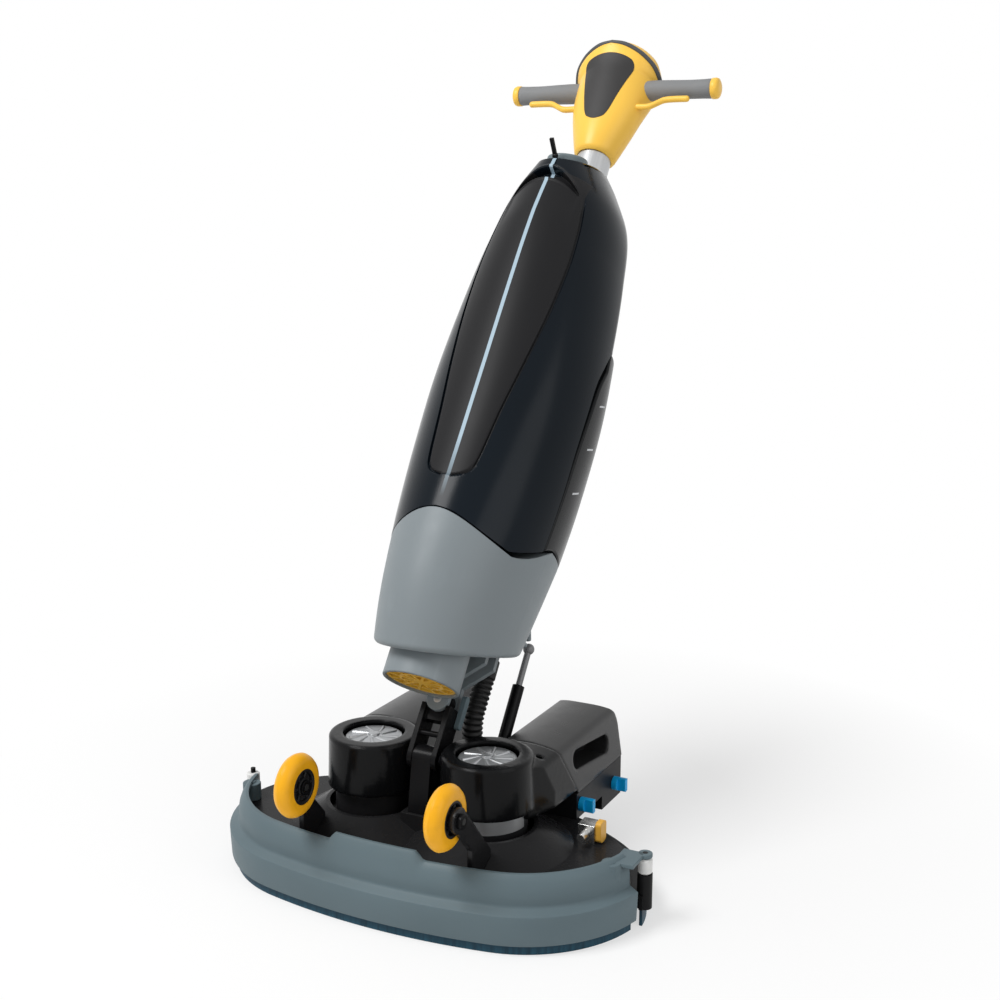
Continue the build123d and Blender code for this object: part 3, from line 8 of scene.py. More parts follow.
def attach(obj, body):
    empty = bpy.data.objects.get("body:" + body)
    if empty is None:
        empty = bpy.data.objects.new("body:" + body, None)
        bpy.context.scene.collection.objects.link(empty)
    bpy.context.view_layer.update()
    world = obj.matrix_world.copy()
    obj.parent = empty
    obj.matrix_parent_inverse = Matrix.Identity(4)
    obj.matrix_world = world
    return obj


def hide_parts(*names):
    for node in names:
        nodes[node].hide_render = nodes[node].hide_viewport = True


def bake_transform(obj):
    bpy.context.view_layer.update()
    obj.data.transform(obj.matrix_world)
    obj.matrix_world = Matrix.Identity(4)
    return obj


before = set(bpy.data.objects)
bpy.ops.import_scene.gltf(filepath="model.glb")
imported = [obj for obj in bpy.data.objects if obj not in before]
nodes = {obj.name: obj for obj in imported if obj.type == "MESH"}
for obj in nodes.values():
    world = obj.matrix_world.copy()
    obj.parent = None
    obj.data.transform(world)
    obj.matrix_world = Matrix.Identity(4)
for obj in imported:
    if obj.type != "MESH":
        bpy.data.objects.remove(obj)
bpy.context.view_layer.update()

# Camera: it stands to the front and right of the machine, a little above its middle, with a normal lens.
# The place and angles come from fitting the deck, tanks and bar to the photograph.
AZIMUTH = math.radians(26.985)
PITCH = math.radians(11.577)
CAMERA_PLACE = (0.7635, -1.5371, 0.7624)
FOCAL_PIXELS, PICTURE_PIXELS, SENSOR_WIDTH = 1402.75, 1000, 36


def placed(name, data):
    """Puts data in the scene as an object."""
    made = bpy.data.objects.new(name, data)
    bpy.context.scene.collection.objects.link(made)
    return made


right = Vector((math.cos(AZIMUTH), math.sin(AZIMUTH), 0))
look = Vector((-math.sin(AZIMUTH) * math.cos(PITCH), math.cos(AZIMUTH) * math.cos(PITCH), -math.sin(PITCH)))
up = right.cross(look)
lens = bpy.data.cameras.new("camera")
lens.sensor_width = SENSOR_WIDTH
lens.lens = FOCAL_PIXELS / PICTURE_PIXELS * SENSOR_WIDTH
camera = placed("camera", lens)
camera.matrix_world = Matrix((right, up, -look)).transposed().to_4x4()
camera.location = CAMERA_PLACE
bpy.context.scene.camera = camera
bpy.context.scene.view_settings.view_transform = "Standard"

# Deck plate: one black moulding with a cone collar under each motor and a block for the pivot.
# Its satin skin is scuffed a little where boots and hoses rub it.
PLASTIC_IOR = 1.32


class Wire:
    """A number that a shader node gives, so that shader maths reads as plain arithmetic."""

    def __init__(self, finish, socket):
        self.finish = finish
        self.socket = socket

    def maths(self, operation, *values):
        return self.finish.node("ShaderNodeMath", {"operation": operation}, dict(enumerate(values)))

    def __add__(self, other):
        return self.maths("ADD", self, other)

    def __radd__(self, other):
        return self.maths("ADD", other, self)

    def __sub__(self, other):
        return self.maths("SUBTRACT", self, other)

    def __rsub__(self, other):
        return self.maths("SUBTRACT", other, self)

    def __mul__(self, other):
        return self.maths("MULTIPLY", self, other)

    def __rmul__(self, other):
        return self.maths("MULTIPLY", other, self)

    def __lt__(self, other):
        return self.maths("LESS_THAN", self, other)

    def __gt__(self, other):
        return self.maths("GREATER_THAN", self, other)

    def __abs__(self):
        return self.maths("ABSOLUTE", self)

    def held(self, low, high):
        """0 below low, 1 above high and a straight slope between."""
        inputs = {"Value": self, "From Min": low, "From Max": high}
        return self.finish.node("ShaderNodeMapRange", {"clamp": True}, inputs)


class Finish:
    """One Principled surface whose patterns lie on Object coordinates."""

    def __init__(self, name, colour, roughness, **sockets):
        self.name = name
        self.material = bpy.data.materials.new(name)
        self.material.use_nodes = True
        self.tree = self.material.node_tree
        self.shader = self.tree.nodes["Principled BSDF"]
        self.soft = None
        self.feed("Base Color", (*colour, 1))
        self.feed("Roughness", roughness)
        self.feed("IOR", PLASTIC_IOR)
        for key, value in sockets.items():
            self.feed(key.replace("_", " "), value)

    def join(self, value, socket):
        if isinstance(value, Wire):
            self.tree.links.new(value.socket, socket)
        else:
            socket.default_value = value

    def feed(self, socket, value):
        self.join(value, self.shader.inputs[socket])

    def node(self, kind, settings, inputs, out=0):
        made = self.tree.nodes.new(kind)
        for key, value in settings.items():
            setattr(made, key, value)
        for key, value in inputs.items():
            self.join(value, made.inputs[key])
        return Wire(self, made.outputs[out])

    def place(self, turn=None):
        """Object coordinates, taken back to an upright frame where a turn is given."""
        where = self.node("ShaderNodeTexCoord", {}, {}, "Object")
        if turn:
            back = turn.inverted()
            inputs = {"Vector": where, "Location": back.translation, "Rotation": back.to_euler()}
            where = self.node("ShaderNodeMapping", {"vector_type": "POINT"}, inputs)
        return where

    def axes(self, turn=None):
        split = self.node("ShaderNodeSeparateXYZ", {}, {"Vector": self.place(turn)})
        return [Wire(self, s) for s in split.socket.node.outputs]

    def noise(self, scale, detail=3.0, stretch=(1, 1, 1), turn=None):
        where = self.node("ShaderNodeMapping", {}, {"Vector": self.place(turn), "Scale": stretch})
        return self.node("ShaderNodeTexNoise", {}, {"Vector": where, "Scale": scale, "Detail": detail})

    def mix(self, share, first, second):
        return self.node("ShaderNodeMix", {"data_type": "RGBA"}, {0: share, 6: first, 7: second}, 2)

    def rubbed(self, edge):
        """Rounds edges in the shading, and gives a mask of where they are."""
        self.soft = self.node("ShaderNodeBevel", {"samples": 4}, {"Radius": edge})
        flat = self.node("ShaderNodeNewGeometry", {}, {}, "Normal")
        inputs = {0: self.soft, 1: flat}
        likeness = self.node("ShaderNodeVectorMath", {"operation": "DOT_PRODUCT"}, inputs, "Value")
        return (1 - likeness).held(0.02, 0.25)

    def bump(self, height, depth):
        inputs = {"Height": height, "Distance": depth, "Strength": 1.0}
        if self.soft:
            inputs["Normal"] = self.soft
        self.feed("Normal", self.node("ShaderNodeBump", {}, inputs))


def tint(colour, share, lift=0.0):
    return (*[c * share + lift for c in colour], 1)


def moulded(name, colour, roughness, grain=0.00004, shade=0.88, edge=0.0009, **sockets):
    """Moulded plastic or paint: a fine grain, faint flow shading, uneven gloss and lightly rubbed edges."""
    finish = Finish(name, colour, roughness, **sockets)
    worn = finish.rubbed(edge) * finish.noise(140.0, 2.0).held(0.35, 0.65)
    flow = finish.mix(finish.noise(9.0, 2.0), tint(colour, shade), tint(colour, 2 - shade))
    finish.feed("Base Color", finish.mix(worn * 0.5, flow, tint(colour, 1.25, 0.015)))
    finish.feed("Roughness", finish.noise(60.0, 4.0) * 0.14 + (roughness - 0.07))
    finish.bump(finish.noise(1800.0, 2.0), grain)
    return finish


def dress(finish, *names):
    for name in names:
        nodes[name].data.materials.clear()
        nodes[name].data.materials.append(finish.material)


def both(name):
    return name + "_right", name + "_left"


deck_black = moulded("deck_black", (0.015, 0.015, 0.0158), 0.27, IOR=1.15)
dress(deck_black, "deck_plate")

# Front bumper: a thick blue-grey rubber wall along the deck's front, with a ledge half way up.
# It is one moulding, bolted down at two bosses, and its rim stands higher between the wheels.
# A flat tab runs back from the right boss over the wall roller.
FRONT_Y, FRONT_R = -360.2, 740
CORNER_X, CORNER_R = 111, 156
CORNER_Y = FRONT_Y + FRONT_R - math.sqrt((FRONT_R - CORNER_R) ** 2 - CORNER_X**2)
BUMPER_END_Y = -227.2
# Inset and height of the wall's outer face, from its foot to its rim.
BUMPER_WALL = (
    (4.5, 11.5), (2, 12), (1.5, 14), (0.6, 32), (0.1, 45), (0.4, 45.9), (1.1, 46.4), (9.6, 50.2),
    (10.9, 51.4), (11.3, 54), (11, 59), (11.2, 65), (12.4, 72), (14.6, 78), (17.4, 82.6), (20, 84.8),
    (23.5, 84.8),
)
BUMPER_COLUMNS = 160
RAISED_HALF, RAISED_RUN, RAISED_BY = 61, 11, 10
RAISED_FROM_Z, RAISED_FULL_Z = 72, 85
BOSS_X, BOSS_Y, BOSS_R = 237, -240.2, 11
BOSS_FOOT_Z, BOSS_TOP_Z = 60, 81
BOLT_TOP_Z, BOLT_R, BOLT_TOP_R = 82.6, 6, 5
TAB_X, TAB_Y, TAB_R = 262, -204.2, 8
TAB_FOOT_Z, TAB_TOP_Z = 76.9, 81.7
TAB_SIZE, TAB_MIDDLE = (0.025, 0.036, 0.0048), (0.2495, -0.2222, 0.0793)


def eased(value, low, high):
    """0 below low, 1 above high and a soft slope between."""
    share = min(max((value - low) / (high - low), 0), 1)
    return share * share * (3 - 2 * share)


def wrapped(columns, rows, place, closed=True):
    """A sheet of quads, each corner placed by its column and row, in mm; it closes on itself if told to."""
    mesh = bmesh.new()
    bmesh.ops.create_grid(mesh, x_segments=columns, y_segments=rows, size=1)
    for v in mesh.verts:
        column, row = round((v.co.x + 1) / 2 * columns), round((v.co.y + 1) / 2 * rows)
        v.co = Vector(place(column, row)) / 1000
    if closed:
        bmesh.ops.remove_doubles(mesh, verts=mesh.verts, dist=1e-6)
    return mesh


def rod(mesh, start, end, radius, end_radius=None, sides=32):
    """Adds a closed cylinder or cone from one place to another, in mm."""
    start, end = Vector(start) / 1000, Vector(end) / 1000
    run = end - start
    place = Matrix.Translation((start + end) / 2) @ run.to_track_quat("Z", "Y").to_matrix().to_4x4()
    far = radius if end_radius is None else end_radius
    bmesh.ops.create_cone(
        mesh, cap_ends=True, segments=sides, radius1=radius / 1000, radius2=far / 1000, depth=run.length,
        matrix=place,
    )


def piece(name, mesh, finish, body, *stands_for, slot=None, crease=35):
    """Turns a mesh into a smooth piece that rides on a body, in place of CAD nodes where it has them."""
    bmesh.ops.recalc_face_normals(mesh, faces=mesh.faces)
    middle = sum((v.co for v in mesh.verts), Vector()) / len(mesh.verts)
    if sum(f.normal.dot(f.calc_center_median() - middle) * f.calc_area() for f in mesh.faces) < 0:
        bmesh.ops.reverse_faces(mesh, faces=mesh.faces)
    data = bpy.data.meshes.new(name)
    mesh.to_mesh(data)
    mesh.free()
    for face in data.polygons:
        face.use_smooth = True
    data.set_sharp_from_angle(angle=math.radians(crease))
    data.materials.append(finish.material)
    made = placed(name, data)
    if body:
        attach(made, body)
    if stands_for:
        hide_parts(*stands_for)
    return made


def broken(made, edge, angle=40):
    """Breaks a piece's sharp edges."""
    bevel = made.modifiers.new("broken_edges", "BEVEL")
    bevel.width = edge
    bevel.segments = 3
    bevel.limit_method = "ANGLE"
    bevel.angle_limit = math.radians(angle)


def walled(made, thickness, edge):
    """Gives an open skin its wall and breaks the wall's edges."""
    wall = made.modifiers.new("wall", "SOLIDIFY")
    wall.thickness = thickness
    wall.offset = -1
    broken(made, edge)


def deck_edge(share, inset):
    """Place on the deck's outline, drawn in by an inset; the share runs from -1 at the left end to 1."""
    centre = FRONT_Y + FRONT_R
    meet = math.atan2(CORNER_X, centre - CORNER_Y)
    turn = math.acos((CORNER_Y - BUMPER_END_Y) / CORNER_R)
    front_run, corner_run = FRONT_R * meet, CORNER_R * (turn - meet)
    run = abs(share) * (front_run + corner_run)
    side = math.copysign(1, share)
    if run <= front_run:
        angle, reach, x, y = run / FRONT_R, FRONT_R - inset, 0, centre
    else:
        angle, reach, x, y = meet + (run - front_run) / CORNER_R, CORNER_R - inset, CORNER_X, CORNER_Y
    return side * (x + reach * math.sin(angle)), y - reach * math.cos(angle)


def bumper_skin(column, row):
    inset, z = BUMPER_WALL[row]
    x, y = deck_edge(2 * column / BUMPER_COLUMNS - 1, inset)
    lift = RAISED_BY * eased(RAISED_HALF - abs(x), 0, RAISED_RUN)
    return x, y, z + lift * max(z - RAISED_FROM_Z, 0) / (RAISED_FULL_Z - RAISED_FROM_Z)


bumper = wrapped(BUMPER_COLUMNS, len(BUMPER_WALL) - 1, bumper_skin, False)
bumper_rubber = moulded("bumper_rubber", (0.108, 0.15, 0.168), 0.5, grain=0.00009)
front_bumper = piece(
    "bumper_wall", bumper, bumper_rubber, "deck", "front_bumper", slot="bumper_blue", crease=60
)
walled(front_bumper, 0.005, 0.001)
bosses = bmesh.new()
for side in (-1, 1):
    x = side * BOSS_X
    rod(bosses, (x, BOSS_Y, BOSS_FOOT_Z), (x, BOSS_Y, BOSS_TOP_Z), BOSS_R)
    rod(bosses, (x, BOSS_Y, BOSS_TOP_Z), (x, BOSS_Y, BOLT_TOP_Z), BOLT_R, BOLT_TOP_R, sides=6)
rod(bosses, (TAB_X, TAB_Y, TAB_FOOT_Z), (TAB_X, TAB_Y, TAB_TOP_Z), TAB_R)
tab = bmesh.ops.create_cube(bosses, size=1)["verts"]
bmesh.ops.scale(bosses, vec=TAB_SIZE, verts=tab)
bmesh.ops.translate(bosses, vec=TAB_MIDDLE, verts=tab)
bumper_bosses = piece("bumper_bosses", bosses, bumper_rubber, "deck", slot="bumper_blue")
broken(bumper_bosses, 0.0012)

# Splash strip and squeegee blades: blue rubber cut from sheet, clamped under the bumper and in the squeegee.
# Their feet are paler and dull where they drag over the floor.
RUBBER_BLUE = (0.007, 0.036, 0.06)
DRAGGED_BLUE = (0.02, 0.09, 0.14)
blue_rubber = moulded("blue_rubber", RUBBER_BLUE, 0.5, grain=0.00008)
z = blue_rubber.axes()[2]
dragged = (1 - z.held(0.001, 0.012)) * blue_rubber.noise(220.0, 3.0, (1, 1, 0.1)).held(0.3, 0.7)
blue_rubber.feed("Base Color", blue_rubber.mix(dragged, (*RUBBER_BLUE, 1), (*DRAGGED_BLUE, 1)))
dress(blue_rubber, "splash_strip", "squeegee_blades")

# Squeegee frame and wall rollers: a black moulded channel behind the brushes, and a white roller at each end.
# The channel has a dull grain. The rollers are smooth plastic, turn on pins and keep the ends off a wall.
squeegee_black = moulded("squeegee_black", (0.009, 0.009, 0.0095), 0.42, grain=0.00006, IOR=1.2)
dress(squeegee_black, "squeegee_frame")
roller_white = moulded("roller_white", (0.74, 0.74, 0.73), 0.42, grain=0.00003, shade=0.96)
dress(roller_white, *both("wall_roller"))

# Brush discs and scrub pads: a black driver disc under each motor grips a thick pad of red nylon fibre.
# The pad is a needled mat, so its skin is a tangle of strands and its rim is soft.
BRUSH_X, BRUSH_Y = 113, -216.2
# Radius and height of the pad's outline.
PAD = (
    (0, 0.6), (60, 0.3), (104, 0.3), (107.5, 1.2), (109.4, 3.6), (109.8, 10), (109.4, 16.4), (107.5, 19),
    (60, 19.8), (0, 19.8),
)
PAD_RED = (0.3, 0.035, 0.03)
SIDES = (("right", 1), ("left", -1))
disc_black = moulded("disc_black", (0.018, 0.018, 0.018), 0.5, grain=0.00006)
dress(disc_black, *both("brush_disc"))


def turned(profile, centre, axis, steps=64):
    """Spins a profile of (radius, distance along the axis) about a line through a centre, in mm."""
    mesh = bmesh.new()
    axis = Vector(axis).normalized()
    across = axis.orthogonal().normalized()
    centre = Vector(centre) / 1000
    corners = [mesh.verts.new(centre + (across * r + axis * a) / 1000) for r, a in profile]
    edges = [mesh.edges.new(pair) for pair in zip(corners, corners[1:])]
    bmesh.ops.spin(
        mesh, geom=corners + edges, cent=centre, axis=axis, angle=2 * math.pi, steps=steps, use_merge=True
    )
    bmesh.ops.remove_doubles(mesh, verts=mesh.verts, dist=1e-6)
    return mesh


pad_fibre = Finish("pad_fibre", PAD_RED, 0.95)
strands = pad_fibre.noise(900.0, 6.0)
pad_fibre.feed("Base Color", pad_fibre.mix(strands.held(0.35, 0.7), tint(PAD_RED, 0.35), tint(PAD_RED, 1.5)))
pad_fibre.bump(strands + pad_fibre.noise(250.0, 4.0), 0.0012)
for hand, side in SIDES:
    pad = turned(PAD, (side * BRUSH_X, BRUSH_Y, 0), (0, 0, 1), steps=96)
    mat = piece("pad_mat_" + hand, pad, pad_fibre, "brush_" + hand, "scrub_pad_" + hand, crease=60)

# Brush motors: a black gear casing on each collar, and on it a motor can with a ribbed bright end.
# A cooling fan of pressed aluminium lies on the can's end, under the cover's window.
MOTOR_X, CAN_END_Z = 75, 156
CASING_BLACK = (0.011, 0.011, 0.012)
CAN_METAL = (0.5, 0.51, 0.52)
RIBS_FOOT, RIBS_TOP, CAN_FOOT, RIBS_INNER = 0.0875, 0.1055, 0.1075, 0.08
# Radius and height of the fan's outline, from its hub out to its rim.
FAN = (
    (0, 9.5), (5, 9.5), (6.5, 8.8), (7, 7), (9, 6.4), (28, 5), (31, 5.6), (33, 5.4), (33.5, 4), (33.5, 0.4),
    (0, 0.4),
)
FAN_BLADES, BLADE_SWEEP = 9, 0.35
# Distance from the fan's middle, height and radius of a blade at its inner and at its outer end.
BLADE_ROOT, BLADE_TIP = (9, 161.6, 1.8), (29, 160.6, 2.6)


def bare_metal(name, colour, edge, patches, swing, least, grain, depth, metallic=1.0):
    """Bare metal: rubbed edges, a polish that varies in patches, and a fine grain."""
    finish = Finish(name, colour, least, Metallic=metallic)
    finish.rubbed(edge)
    finish.feed("Roughness", finish.noise(patches, 4.0) * swing + least)
    finish.bump(finish.noise(grain, 2.0), depth)
    return finish


def blade_end(end, x, angle):
    reach, z, _ = end
    return x + reach * math.cos(angle), BRUSH_Y + reach * math.sin(angle), z


motor_metal = moulded("motor_metal", CAN_METAL, 0.36, grain=0.00006, edge=0.0006)
x, y, z = motor_metal.axes()
# Bright rib metal is painted only on the right motor's front and outer quarter, where light falls; the rest
# of the band on both motors stays casing black as painted shade.
ribs = (z > RIBS_FOOT) * (z < RIBS_TOP) * (x > RIBS_INNER) * (y < BRUSH_Y / 1000)
can_and_lit_ribs = ribs + (z > CAN_FOOT)
motor_metal.feed("Base Color", motor_metal.mix(can_and_lit_ribs, (*CASING_BLACK, 1), (*CAN_METAL, 1)))
motor_metal.feed("Metallic", can_and_lit_ribs * 0.75)
dress(motor_metal, *both("brush_motor"))
fan_metal = bare_metal(
    "fan_metal", (0.4, 0.41, 0.42), edge=0.0006, patches=90.0, swing=0.25, least=0.22, grain=700.0,
    depth=0.00004, metallic=0.8,
)
for hand, side in SIDES:
    x = side * MOTOR_X
    fan = turned(FAN, (x, BRUSH_Y, CAN_END_Z), (0, 0, 1), steps=72)
    for k in range(FAN_BLADES):
        angle = 2 * math.pi * k / FAN_BLADES
        root, tip = blade_end(BLADE_ROOT, x, angle), blade_end(BLADE_TIP, x, angle + BLADE_SWEEP)
        rod(fan, root, tip, BLADE_ROOT[2], BLADE_TIP[2], sides=10)
    piece("motor_fan_" + hand, fan, fan_metal, "deck", slot="cast_aluminium")

# Motor covers: gloss black mouldings, each a round tower with a window over its motor.
# A crowned shoulder runs back from it to meet the battery.
cover_gloss = moulded("cover_gloss", (0.0045, 0.0047, 0.0052), 0.16, edge=0.005, IOR=1.22)
cover_gloss.feed("Roughness", cover_gloss.noise(35.0, 4.0) * 0.16 + 0.09)
cover_gloss.bump(cover_gloss.noise(160.0, 1.5), 0.00012)
dress(cover_gloss, *both("motor_cover"))

# Batteries and trays: dark satin cases with a hand slot, which slide back out of open trays on the deck.
# Fingers have polished the slot's edges.
battery_dark = moulded("battery_dark", (0.016, 0.016, 0.0165), 0.3, grain=0.00006, edge=0.006, IOR=1.34)
dress(battery_dark, *both("battery"))
tray_black = moulded("tray_black", (0.01, 0.01, 0.011), 0.4, grain=0.00005, IOR=1.2)
dress(tray_black, *both("battery_tray"))

# Latch knobs: two bright blue quarter-turn knobs that lock the right-hand battery tray.
# Each is one small moulding with a satin skin, turned by finger and thumb.
knob_blue = moulded("knob_blue", (0.003, 0.36, 0.74), 0.38, grain=0.00003, shade=0.94, edge=0.0015)
dress(knob_blue, "latch_knob_front", "latch_knob_rear")

# Water valve: a nickel-plated block with a hose fitting, shut by an upright yellow paddle.
# The plating is bright and a little uneven, and the paddle is a plain moulding on the block's spindle.
valve_nickel = bare_metal(
    "valve_nickel", (0.66, 0.66, 0.65), edge=0.0008, patches=120.0, swing=0.3, least=0.1, grain=500.0,
    depth=0.00003,
)
dress(valve_nickel, "valve_body")
paddle_yellow = moulded("paddle_yellow", (0.78, 0.42, 0.06), 0.4, shade=0.94, edge=0.0016)
dress(paddle_yellow, "valve_lever")

# Transport wheels: cast amber tyres on black hubs, each on an axle bolt through a flat painted arm.
# The tread is a little dulled and the tyre has a fine parting line round its crown.
WHEEL_X, WHEEL_Y, WHEEL_Z = 93.5, -347.2, 145
# Radius and distance along the axle, for one half of the tyre's and of the hub's outline.
TYRE_HALF = (
    (20, -10.5), (25.5, -10.5), (27.4, -10.2), (29.6, -9.4), (32.6, -7.4), (34.8, -4.2), (35.9, -1),
    (36, -0.5), (35.7, 0),
)
HUB_HALF = (
    (4.06, -10.5), (9.6, -10.5), (10, -10.1), (10, -6), (11, -5.2), (15, -5.2), (16.2, -6), (16.6, -9.8),
    (17.4, -10.5), (19.4, -10.5), (19.9, -10),
)
SPOKES, SPOKE_FROM, SPOKE_TO, SPOKE_OUT, SPOKE_R = 6, 9, 17, 6.6, 1.6
# Start and end along the axle of each bolt's two hexagon sockets, on the wheel's outer and inner side.
SOCKETS = ((115.6, 116.1), (80.3, 79.8))
SOCKET_R, SOCKET_END_R = 4.2, 3.9
WHEEL_AMBER = (0.9, 0.43, 0.012)


def mirrored(half):
    """A closed outline, from its half on one side of the wheel's middle."""
    return (*half, *[(radius, -along) for radius, along in reversed(half) if along], half[0])


wheel_amber = moulded("wheel_amber", WHEEL_AMBER, 0.36, grain=0.00003)
grime = wheel_amber.noise(70.0, 5.0).held(0.5, 0.75)
wheel_amber.feed("Base Color", wheel_amber.mix(grime * 0.3, (*WHEEL_AMBER, 1), tint(WHEEL_AMBER, 0.72)))
hub_black = moulded("hub_black", (0.012, 0.012, 0.013), 0.4)
for hand, side in SIDES:
    x = side * WHEEL_X
    tyre = turned(mirrored(TYRE_HALF), (x, WHEEL_Y, WHEEL_Z), (1, 0, 0), steps=96)
    piece("tyre_" + hand, tyre, wheel_amber, "wheel_" + hand, "wheel_tyre_" + hand, crease=50)
    hub = turned(mirrored(HUB_HALF), (x, WHEEL_Y, WHEEL_Z), (1, 0, 0))
    for k in range(SPOKES):
        angle = 2 * math.pi * k / SPOKES
        turn = Vector((0, math.cos(angle), math.sin(angle)))
        for face in (-1, 1):
            centre = Vector((x + face * SPOKE_OUT, WHEEL_Y, WHEEL_Z))
            rod(hub, centre + turn * SPOKE_FROM, centre + turn * SPOKE_TO, SPOKE_R, sides=10)
    piece("hub_" + hand, hub, hub_black, "wheel_" + hand, "wheel_hub_" + hand, slot="dark_matte", crease=40)
painted_black = moulded("painted_black", (0.006, 0.006, 0.0066), 0.24, grain=0.00003, edge=0.0016, IOR=1.17)
arm_black = moulded("arm_black", (0.012, 0.012, 0.013), 0.22, grain=0.00003, edge=0.003)
dress(arm_black, *both("wheel_arm"))
dress(painted_black, "wheel_bolts")
sockets = bmesh.new()
for side in (-1, 1):
    for near, far in SOCKETS:
        start, end = (side * near, WHEEL_Y, WHEEL_Z), (side * far, WHEEL_Y, WHEEL_Z)
        rod(sockets, start, end, SOCKET_R, SOCKET_END_R, sides=6)
socket_dark = moulded("socket_dark", (0.02, 0.02, 0.02), 0.4)
piece("bolt_sockets", sockets, socket_dark, "deck", slot="steel")

# Pivot: a painted steel bracket on the deck, a yoke that tilts on its pin, and a lean pin through the yoke.
# A blue-grey lever on the yoke locks the body upright.
bolt_steel = bare_metal(
    "bolt_steel", (0.6, 0.6, 0.6), edge=0.0012, patches=150.0, swing=0.25, least=0.18, grain=600.0,
    depth=0.00004,
)
dress(painted_black, "pivot_bracket", "yoke")
dress(bolt_steel, "tilt_pin", "lean_pin")
lever_grey = moulded("lever_grey", (0.11, 0.15, 0.168), 0.42)
dress(lever_grey, "lock_lever")

# Strut: a black gas strut from a clevis post on the deck to the back of the body, with a satin steel rod.
# The post and the cylinder are painted, and the rod ends in a ball under the base housing.
dress(painted_black, "strut_post", "strut_cylinder")
rod_steel = Finish("rod_steel", (0.2, 0.2, 0.205), 0.45, Metallic=0.3)
rod_steel.feed("Roughness", rod_steel.noise(80.0, 3.0, (1, 1, 12)) * 0.2 + 0.38)
rod_steel.bump(rod_steel.noise(400.0, 2.0, (1, 1, 8)), 0.00002)
dress(rod_steel, "strut_rod")

# Suction duct and hose: a flat black duct over the deck, and a ribbed rubber hose up to the base housing.
# The hose is short and stiff, with a plain cuff at each end.
HOSE_ROUTE = (
    (21, -105.5, 235.8), (21, -133.4, 197.4), (21, -150.6, 173.7), (21, -150.6, 144.5), (21, -150.6, 100),
)
HOSE_RIBS, RIB_ROWS, HOSE_SIDES = 16, 6, 36
CUFF_RUN, CUFF_R = 0.024, 0.0125
# Distance from the hose's end and radius there, along one cuff.
CUFF = ((0, 0.0104), (0, 0.0122), (0.0008, CUFF_R), (CUFF_RUN - 0.002, CUFF_R), (CUFF_RUN - 0.0008, 0.0121))
RIB_FOOT_R, RIB_HEIGHT = 0.0103, 0.0021
dress(squeegee_black, "suction_duct")
hose_line = bpy.data.curves.new("hose_line", "CURVE")
hose_line.dimensions = "3D"
hose_spline = hose_line.splines.new("NURBS")
hose_spline.points.add(len(HOSE_ROUTE) - 1)
for point, place in zip(hose_spline.points, HOSE_ROUTE):
    point.co = (*[v / 1000 for v in place], 1)
hose_spline.order_u = 3
hose_spline.use_endpoint_u = True
hose_spline.resolution_u = 24
hose_guide = bpy.data.objects.new("hose_guide", hose_line)
guide_mesh = bpy.data.meshes.new_from_object(hose_guide)
hose_path = [v.co.copy() for v in guide_mesh.vertices]
bpy.data.objects.remove(hose_guide)
bpy.data.curves.remove(hose_line)
bpy.data.meshes.remove(guide_mesh)
hose_runs = [0.0]
for first, second in zip(hose_path, hose_path[1:]):
    hose_runs.append(hose_runs[-1] + (second - first).length)


def hose_place(run):
    """Place and direction on the hose's line at a distance from its top."""
    k = 0
    while k < len(hose_runs) - 2 and hose_runs[k + 1] < run:
        k += 1
    share = (run - hose_runs[k]) / (hose_runs[k + 1] - hose_runs[k])
    step = hose_path[k + 1] - hose_path[k]
    return hose_path[k] + step * share, step.normalized()


def hose_profile():
    """Distances along the hose with the radius there, in metres: cuff, ribs, cuff."""
    whole = hose_runs[-1]
    rows = list(CUFF)
    pitch = (whole - 2 * CUFF_RUN) / HOSE_RIBS
    for rib in range(HOSE_RIBS):
        for k in range(RIB_ROWS):
            swell = 0.5 - 0.5 * math.cos(2 * math.pi * k / RIB_ROWS)
            rows.append((CUFF_RUN + pitch * (rib + k / RIB_ROWS), RIB_FOOT_R + RIB_HEIGHT * swell**0.7))
    return rows + [(whole - run, radius) for run, radius in reversed(CUFF)]


def hose_skin(rows):
    def place(column, row):
        run, radius = rows[row]
        centre, along = hose_place(run)
        across = Vector((1, 0, 0))
        angle = 2 * math.pi * column / HOSE_SIDES
        return (centre + (across * math.cos(angle) + along.cross(across) * math.sin(angle)) * radius) * 1000

    return wrapped(HOSE_SIDES, len(rows) - 1, place)


hose_rubber = moulded("hose_rubber", (0.012, 0.012, 0.012), 0.5, grain=0.00006)
hose_rows = hose_profile()
hose_split = len(hose_rows) // 2
hose_middle = hose_place(hose_rows[hose_split][0])[0]
upper_skin, lower_skin = hose_skin(hose_rows[: hose_split + 1]), hose_skin(hose_rows[hose_split:])
hose_top = piece("hose_upper", upper_skin, hose_rubber, None, "suction_hose", slot="black_rubber", crease=60)
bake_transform(hose_top)
hose_foot = piece("hose_lower", lower_skin, hose_rubber, None, slot="black_rubber", crease=60)
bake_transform(hose_foot)

# Base housing: the satin grey moulding that carries the tanks, round in plan and sloped underneath.
# It is one hollow plastic shell with a soft lower edge, scuffed a little near its foot.
# A tapered lug at its back reaches down to the strut's ball.
TILT = math.radians(36)
PIVOT = (0, -0.2222, 0.15)
BODY = Matrix.Translation(PIVOT) @ Matrix.Rotation(-TILT, 4, "X")
LUG_ROOT, LUG_TIP = (45.5, 56, 203), (45.5, 81, 181)
LUG_ROOT_R, LUG_TIP_R = 6, 3.5
BASE_GREY = (0.2, 0.228, 0.242)
base_grey = moulded("base_grey", BASE_GREY, 0.44, grain=0.00005, edge=0.0015)
z = base_grey.axes(BODY)[2]
scuffs = base_grey.noise(38.0, 6.0, (1, 1, 0.25), BODY).held(0.58, 0.72) * (1 - z.held(0.08, 0.21))
flow = base_grey.mix(base_grey.noise(7.0, 2.0), tint(BASE_GREY, 0.95), tint(BASE_GREY, 1.05))
